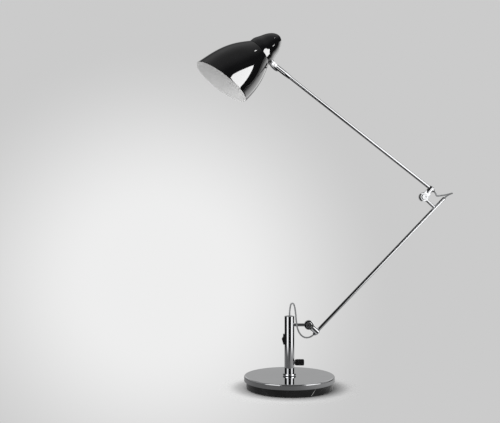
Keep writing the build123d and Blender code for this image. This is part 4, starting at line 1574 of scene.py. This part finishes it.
@dataclass
class Studio:
    """A pale floor, a backdrop and soft lights."""

    backdrop: Span = (0.597, 0.855)
    glow_middle: Point = (-0.110, 1.0, -0.0837)
    glow_angle: Span = (0.0782, 0.2885)
    ambient: float = 0.66
    wall_edge: Span = (0.80, 0.90)
    wall_levels: Span = (0.008, 0.47)
    ceiling_edge: Span = (0.45, 0.95)
    ceiling: float = 0.3
    ceiling_depth: Span = (-0.3, 0.45)
    ceiling_shares: Span = (0.5, 1.0)
    floor_radius: float = 600.0
    floor_sides: int = 96
    floor_fade: Span = (84.0, 125.0)
    # Painted light: the floor's colour is paler to the left and darker to the right
    floor_across: Span = (-170.0, 130.0)
    floor_levels: Span = (0.78, 0.635)
    # Painted shadow: the floor's colour is darkened round the base, deepest near it
    shadow_middle: Point = (0.0, 8.0, 0.0)
    shadow_reach: Span = (78.0, 108.0)
    shadow_depth: float = 0.64
    # Painted reflection: the levels at which the floor glows where metal mirrors it
    mirrored_fade: Span = (290.0, 480.0)
    mirrored_depth: Span = (-60.0, 60.0)
    mirrored_levels: Span = (0.17, 0.26)
    mirrored_across: Span = (0.0, 200.0)
    mirrored_right: float = 0.26
    mirrored_strip: Span = (12.0, 32.0)
    strip_end: Span = (-300.0, -240.0)
    soft_lights: tuple[SoftLight, ...] = (
        SoftLight("overhead_key", (-0.35, -0.45, 1.7), (0.0, 0.0, 0.1), 11.0),
        SoftLight("side_fill", (-1.4, -0.8, 0.7), (-0.09, 0.0, 0.5), 11.0),
    )
    panels: tuple[Panel, ...] = (
        Panel("shade_softbox", Lit.SHADE, (30.5, 72.5), (-1.2, 0.9), 1.6, 9.6),
        Panel("shade_lamp", Lit.SHADE, (76.5, 80.5), (2.52, 2.74), 1.6, 8.0),
        Panel("shade_side_start", Lit.SHADE, (102.0, 110.0), (-0.5, 1.0), 1.6, 0.35),
        Panel("shade_side_ramp", Lit.SHADE, (110.0, 118.0), (-0.5, 1.0), 1.6, 0.85),
        Panel("shade_side", Lit.SHADE, (118.0, 156.0), (-0.5, 1.0), 1.6, 1.3),
        Panel("stand_left", Lit.STAND, (-64.0, -26.0), (-0.45, 2.4), 1.6, 1.2),
        Panel("stand_right", Lit.STAND, (39.0, 80.0), (-0.45, 2.4), 1.6, 1.38),
        Panel("collar_left", Lit.COLLAR, (-64.0, -26.0), (-0.45, 2.4), 1.6, 4.0),
        Panel("collar_right", Lit.COLLAR, (39.0, 80.0), (-0.45, 2.4), 1.6, 4.5),
        Panel("plate_front", Lit.PLATE, (-26.0, 39.0), (0.66, 1.1), 1.6, 0.2),
        Panel("plate_back", Lit.PLATE, (144.0, 216.0), (0.55, 1.4), 1.6, 0.42),
        Panel("plate_back_right", Lit.PLATE, (80.0, 144.0), (0.5, 1.4), 1.6, 0.42),
        Panel("plate_back_left", Lit.PLATE, (-144.0, -64.0), (0.5, 1.4), 1.6, 0.42),
        Panel("shoulder_left", Lit.SHOULDER, (-60.0, -24.0), (0.1, 0.5), 1.6, 1.2),
        Panel("shoulder_high", Lit.SHOULDER, (42.0, 100.0), (0.3, 3.2), 2.0, 1.6),
        Panel("arms_left", Lit.ARMS, (-66.0, -24.0), (-0.45, 0.5), 1.6, 1.35),
        Panel("arms_right", Lit.ARMS, (39.0, 84.0), (-0.45, 0.6), 1.6, 1.45),
        Panel("arms_front", Lit.ARMS, (8.0, 38.0), (0.2, 0.6), 2.0, 1.5),
        Panel("arms_high", Lit.ARMS, (10.0, 100.0), (0.6, 3.2), 2.0, 1.5),
        Panel("arms_low", Lit.ARMS, (24.0, 112.0), (-3.0, -0.3), 1.6, 1.4),
    )

    def floor(self) -> None:
        """A round floor that fades into the backdrop."""
        edge = OWN_AXIS.place(np.array([self.floor_radius]), np.zeros(1), even_angles(self.floor_sides))
        made = bpy.data.meshes.new("floor")
        made.from_pydata((edge * METRES).tolist(), [], [tuple(range(self.floor_sides))])
        made.materials.append(self.floor_material())
        stand(made, "floor")

    def fading(
        self, graph: Graph, shader: bpy.types.Node, away: bpy.types.NodeSocket, reach: Span
    ) -> bpy.types.NodeSocket:
        """A shader that turns clear away from the middle of the floor.

        Args:
            graph: The floor's graph.
            shader: The shader.
            away: The distance from the middle.
            reach: Where it starts to fade and where it is gone.

        Returns:
            The socket with the fading shader.
        """
        gone = graph.add("ShaderNodeBsdfTransparent")
        inputs = {0: graph.remap(away, in_metres(reach)), 1: shader.outputs[0], 2: gone.outputs[0]}
        return graph.add("ShaderNodeMixShader", inputs).outputs[0]

    def floor_material(self) -> bpy.types.Material:
        """Matt and pale, with a painted shadow round the base and painted light that makes it paler to
        the left; clear at its edge, and glowing at its own level where metal mirrors it.

        Returns:
            The material.
        """
        made = bpy.data.materials.new("pale floor")
        made.use_nodes = True
        graph = Graph(made.node_tree)
        place = graph.object_point()
        parts = graph.add("ShaderNodeSeparateXYZ", {0: place}).outputs
        across, back = parts["X"], parts["Y"]
        away = graph.vector_calc("LENGTH", place, (0.0, 0.0, 0.0)).outputs["Value"]
        # Painted shadow round the base, darkest near it and gone at its reach
        from_shadow = graph.vector_calc("DISTANCE", place, in_metres(self.shadow_middle)).outputs["Value"]
        shaded = graph.remap(from_shadow, in_metres(self.shadow_reach), (self.shadow_depth, 1.0))
        # Painted light: paler to the left, darker to the right
        to_the_side = graph.remap(across, in_metres(self.floor_across), self.floor_levels)
        level = graph.calc("MULTIPLY", shaded, to_the_side)
        matt = graph.add("ShaderNodeBsdfDiffuse", {"Color": graph.neutral(level)})
        seen = self.fading(graph, matt, away, self.floor_fade)
        # Painted reflection: where metal mirrors the floor it glows instead of being lit, paler to the back
        front_to_back = graph.remap(back, in_metres(self.mirrored_depth), self.mirrored_levels)
        # and to the right, with a dark strip far in front
        to_the_right = graph.remap(across, in_metres(self.mirrored_across), (0.0, self.mirrored_right))
        strip = in_metres(self.mirrored_strip)
        beside_strip = graph.remap(graph.calc("ABSOLUTE", graph.calc("ADD", across, strip[0])), strip)
        past_strip = graph.calc("MAXIMUM", beside_strip, graph.remap(back, in_metres(self.strip_end)))
        mirrored_level = graph.calc("MULTIPLY", graph.calc("ADD", front_to_back, to_the_right), past_strip)
        shining = graph.add("ShaderNodeEmission", {"Color": rgba(grey(1.0)), "Strength": mirrored_level})
        mirrored = self.fading(graph, shining, away, self.mirrored_fade)
        glossy = graph.add("ShaderNodeLightPath").outputs["Is Glossy Ray"]
        mixed = graph.add("ShaderNodeMixShader", {0: glossy, 1: seen, 2: mirrored})
        graph.add("ShaderNodeOutputMaterial", {"Surface": mixed.outputs[0]})
        return made

    def world(self) -> None:
        """The backdrop as the camera sees it, what metal mirrors, and the fill light."""
        made = bpy.data.worlds.new("studio")
        bpy.context.scene.world = made
        made.use_nodes = True
        graph = Graph(made.node_tree)
        direction = graph.add("ShaderNodeTexCoord").outputs["Generated"]
        middle = Vector(self.glow_middle).normalized()
        facing = graph.vector_calc("DOT_PRODUCT", direction, tuple(middle)).outputs["Value"]
        glow = graph.remap(graph.calc("ARCCOSINE", facing), self.glow_angle, (1.0, 0.0))
        dim, bright = (rgba(grey(level)) for level in self.backdrop)
        seen = graph.mix(glow, dim, bright)
        parts = graph.add("ShaderNodeSeparateXYZ", {0: direction}).outputs
        wall = graph.remap(parts["Y"], self.wall_edge, self.wall_levels)
        overhead = graph.remap(parts["Z"], self.ceiling_edge, (0.0, self.ceiling))
        share = graph.remap(parts["Y"], self.ceiling_depth, self.ceiling_shares)
        mirrored = graph.neutral(graph.calc("MAXIMUM", wall, graph.calc("MULTIPLY", overhead, share)))
        path = graph.add("ShaderNodeLightPath").outputs
        fill = graph.mix(path["Is Glossy Ray"], rgba(grey(self.ambient)), mirrored)
        straight = graph.calc("MAXIMUM", path["Is Camera Ray"], path["Is Transmission Ray"])
        colour = graph.mix(straight, fill, seen)
        back = graph.add("ShaderNodeBackground", {"Color": colour, "Strength": 1.0})
        graph.add("ShaderNodeOutputWorld", {"Surface": back.outputs[0]})

    def build(self, groups: dict[Lit, Sequence[bpy.types.Object]]) -> None:
        """Set up the studio.

        Args:
            groups: The pieces of each group that panels are set for.
        """
        bpy.context.scene.view_settings.view_transform = "Standard"
        self.floor()
        self.world()
        for light in self.soft_lights:
            light.build()
        receivers = {lit: bpy.data.collections.new(lit.value) for lit in Lit}
        for lit, pieces in groups.items():
            for piece in pieces:
                receivers[lit].objects.link(piece)
        for panel in self.panels:
            panel.build(receivers[panel.lit])


def main() -> None:
    """Build the lamp's looks and the studio round it."""
    logging.basicConfig(level=logging.INFO, format="%(name)s: %(message)s")
    PhotoCamera().build()
    head = Head()
    POST_LEAD.build()
    ELBOW_LEAD.build()
    head.lead()
    groups = Hardware().dress()
    Thumbscrew().build()
    groups[Lit.SHADE] = head.build()
    ShadeLamp().build()
    Studio().build(groups)


if __name__ == "__main__":
    main()
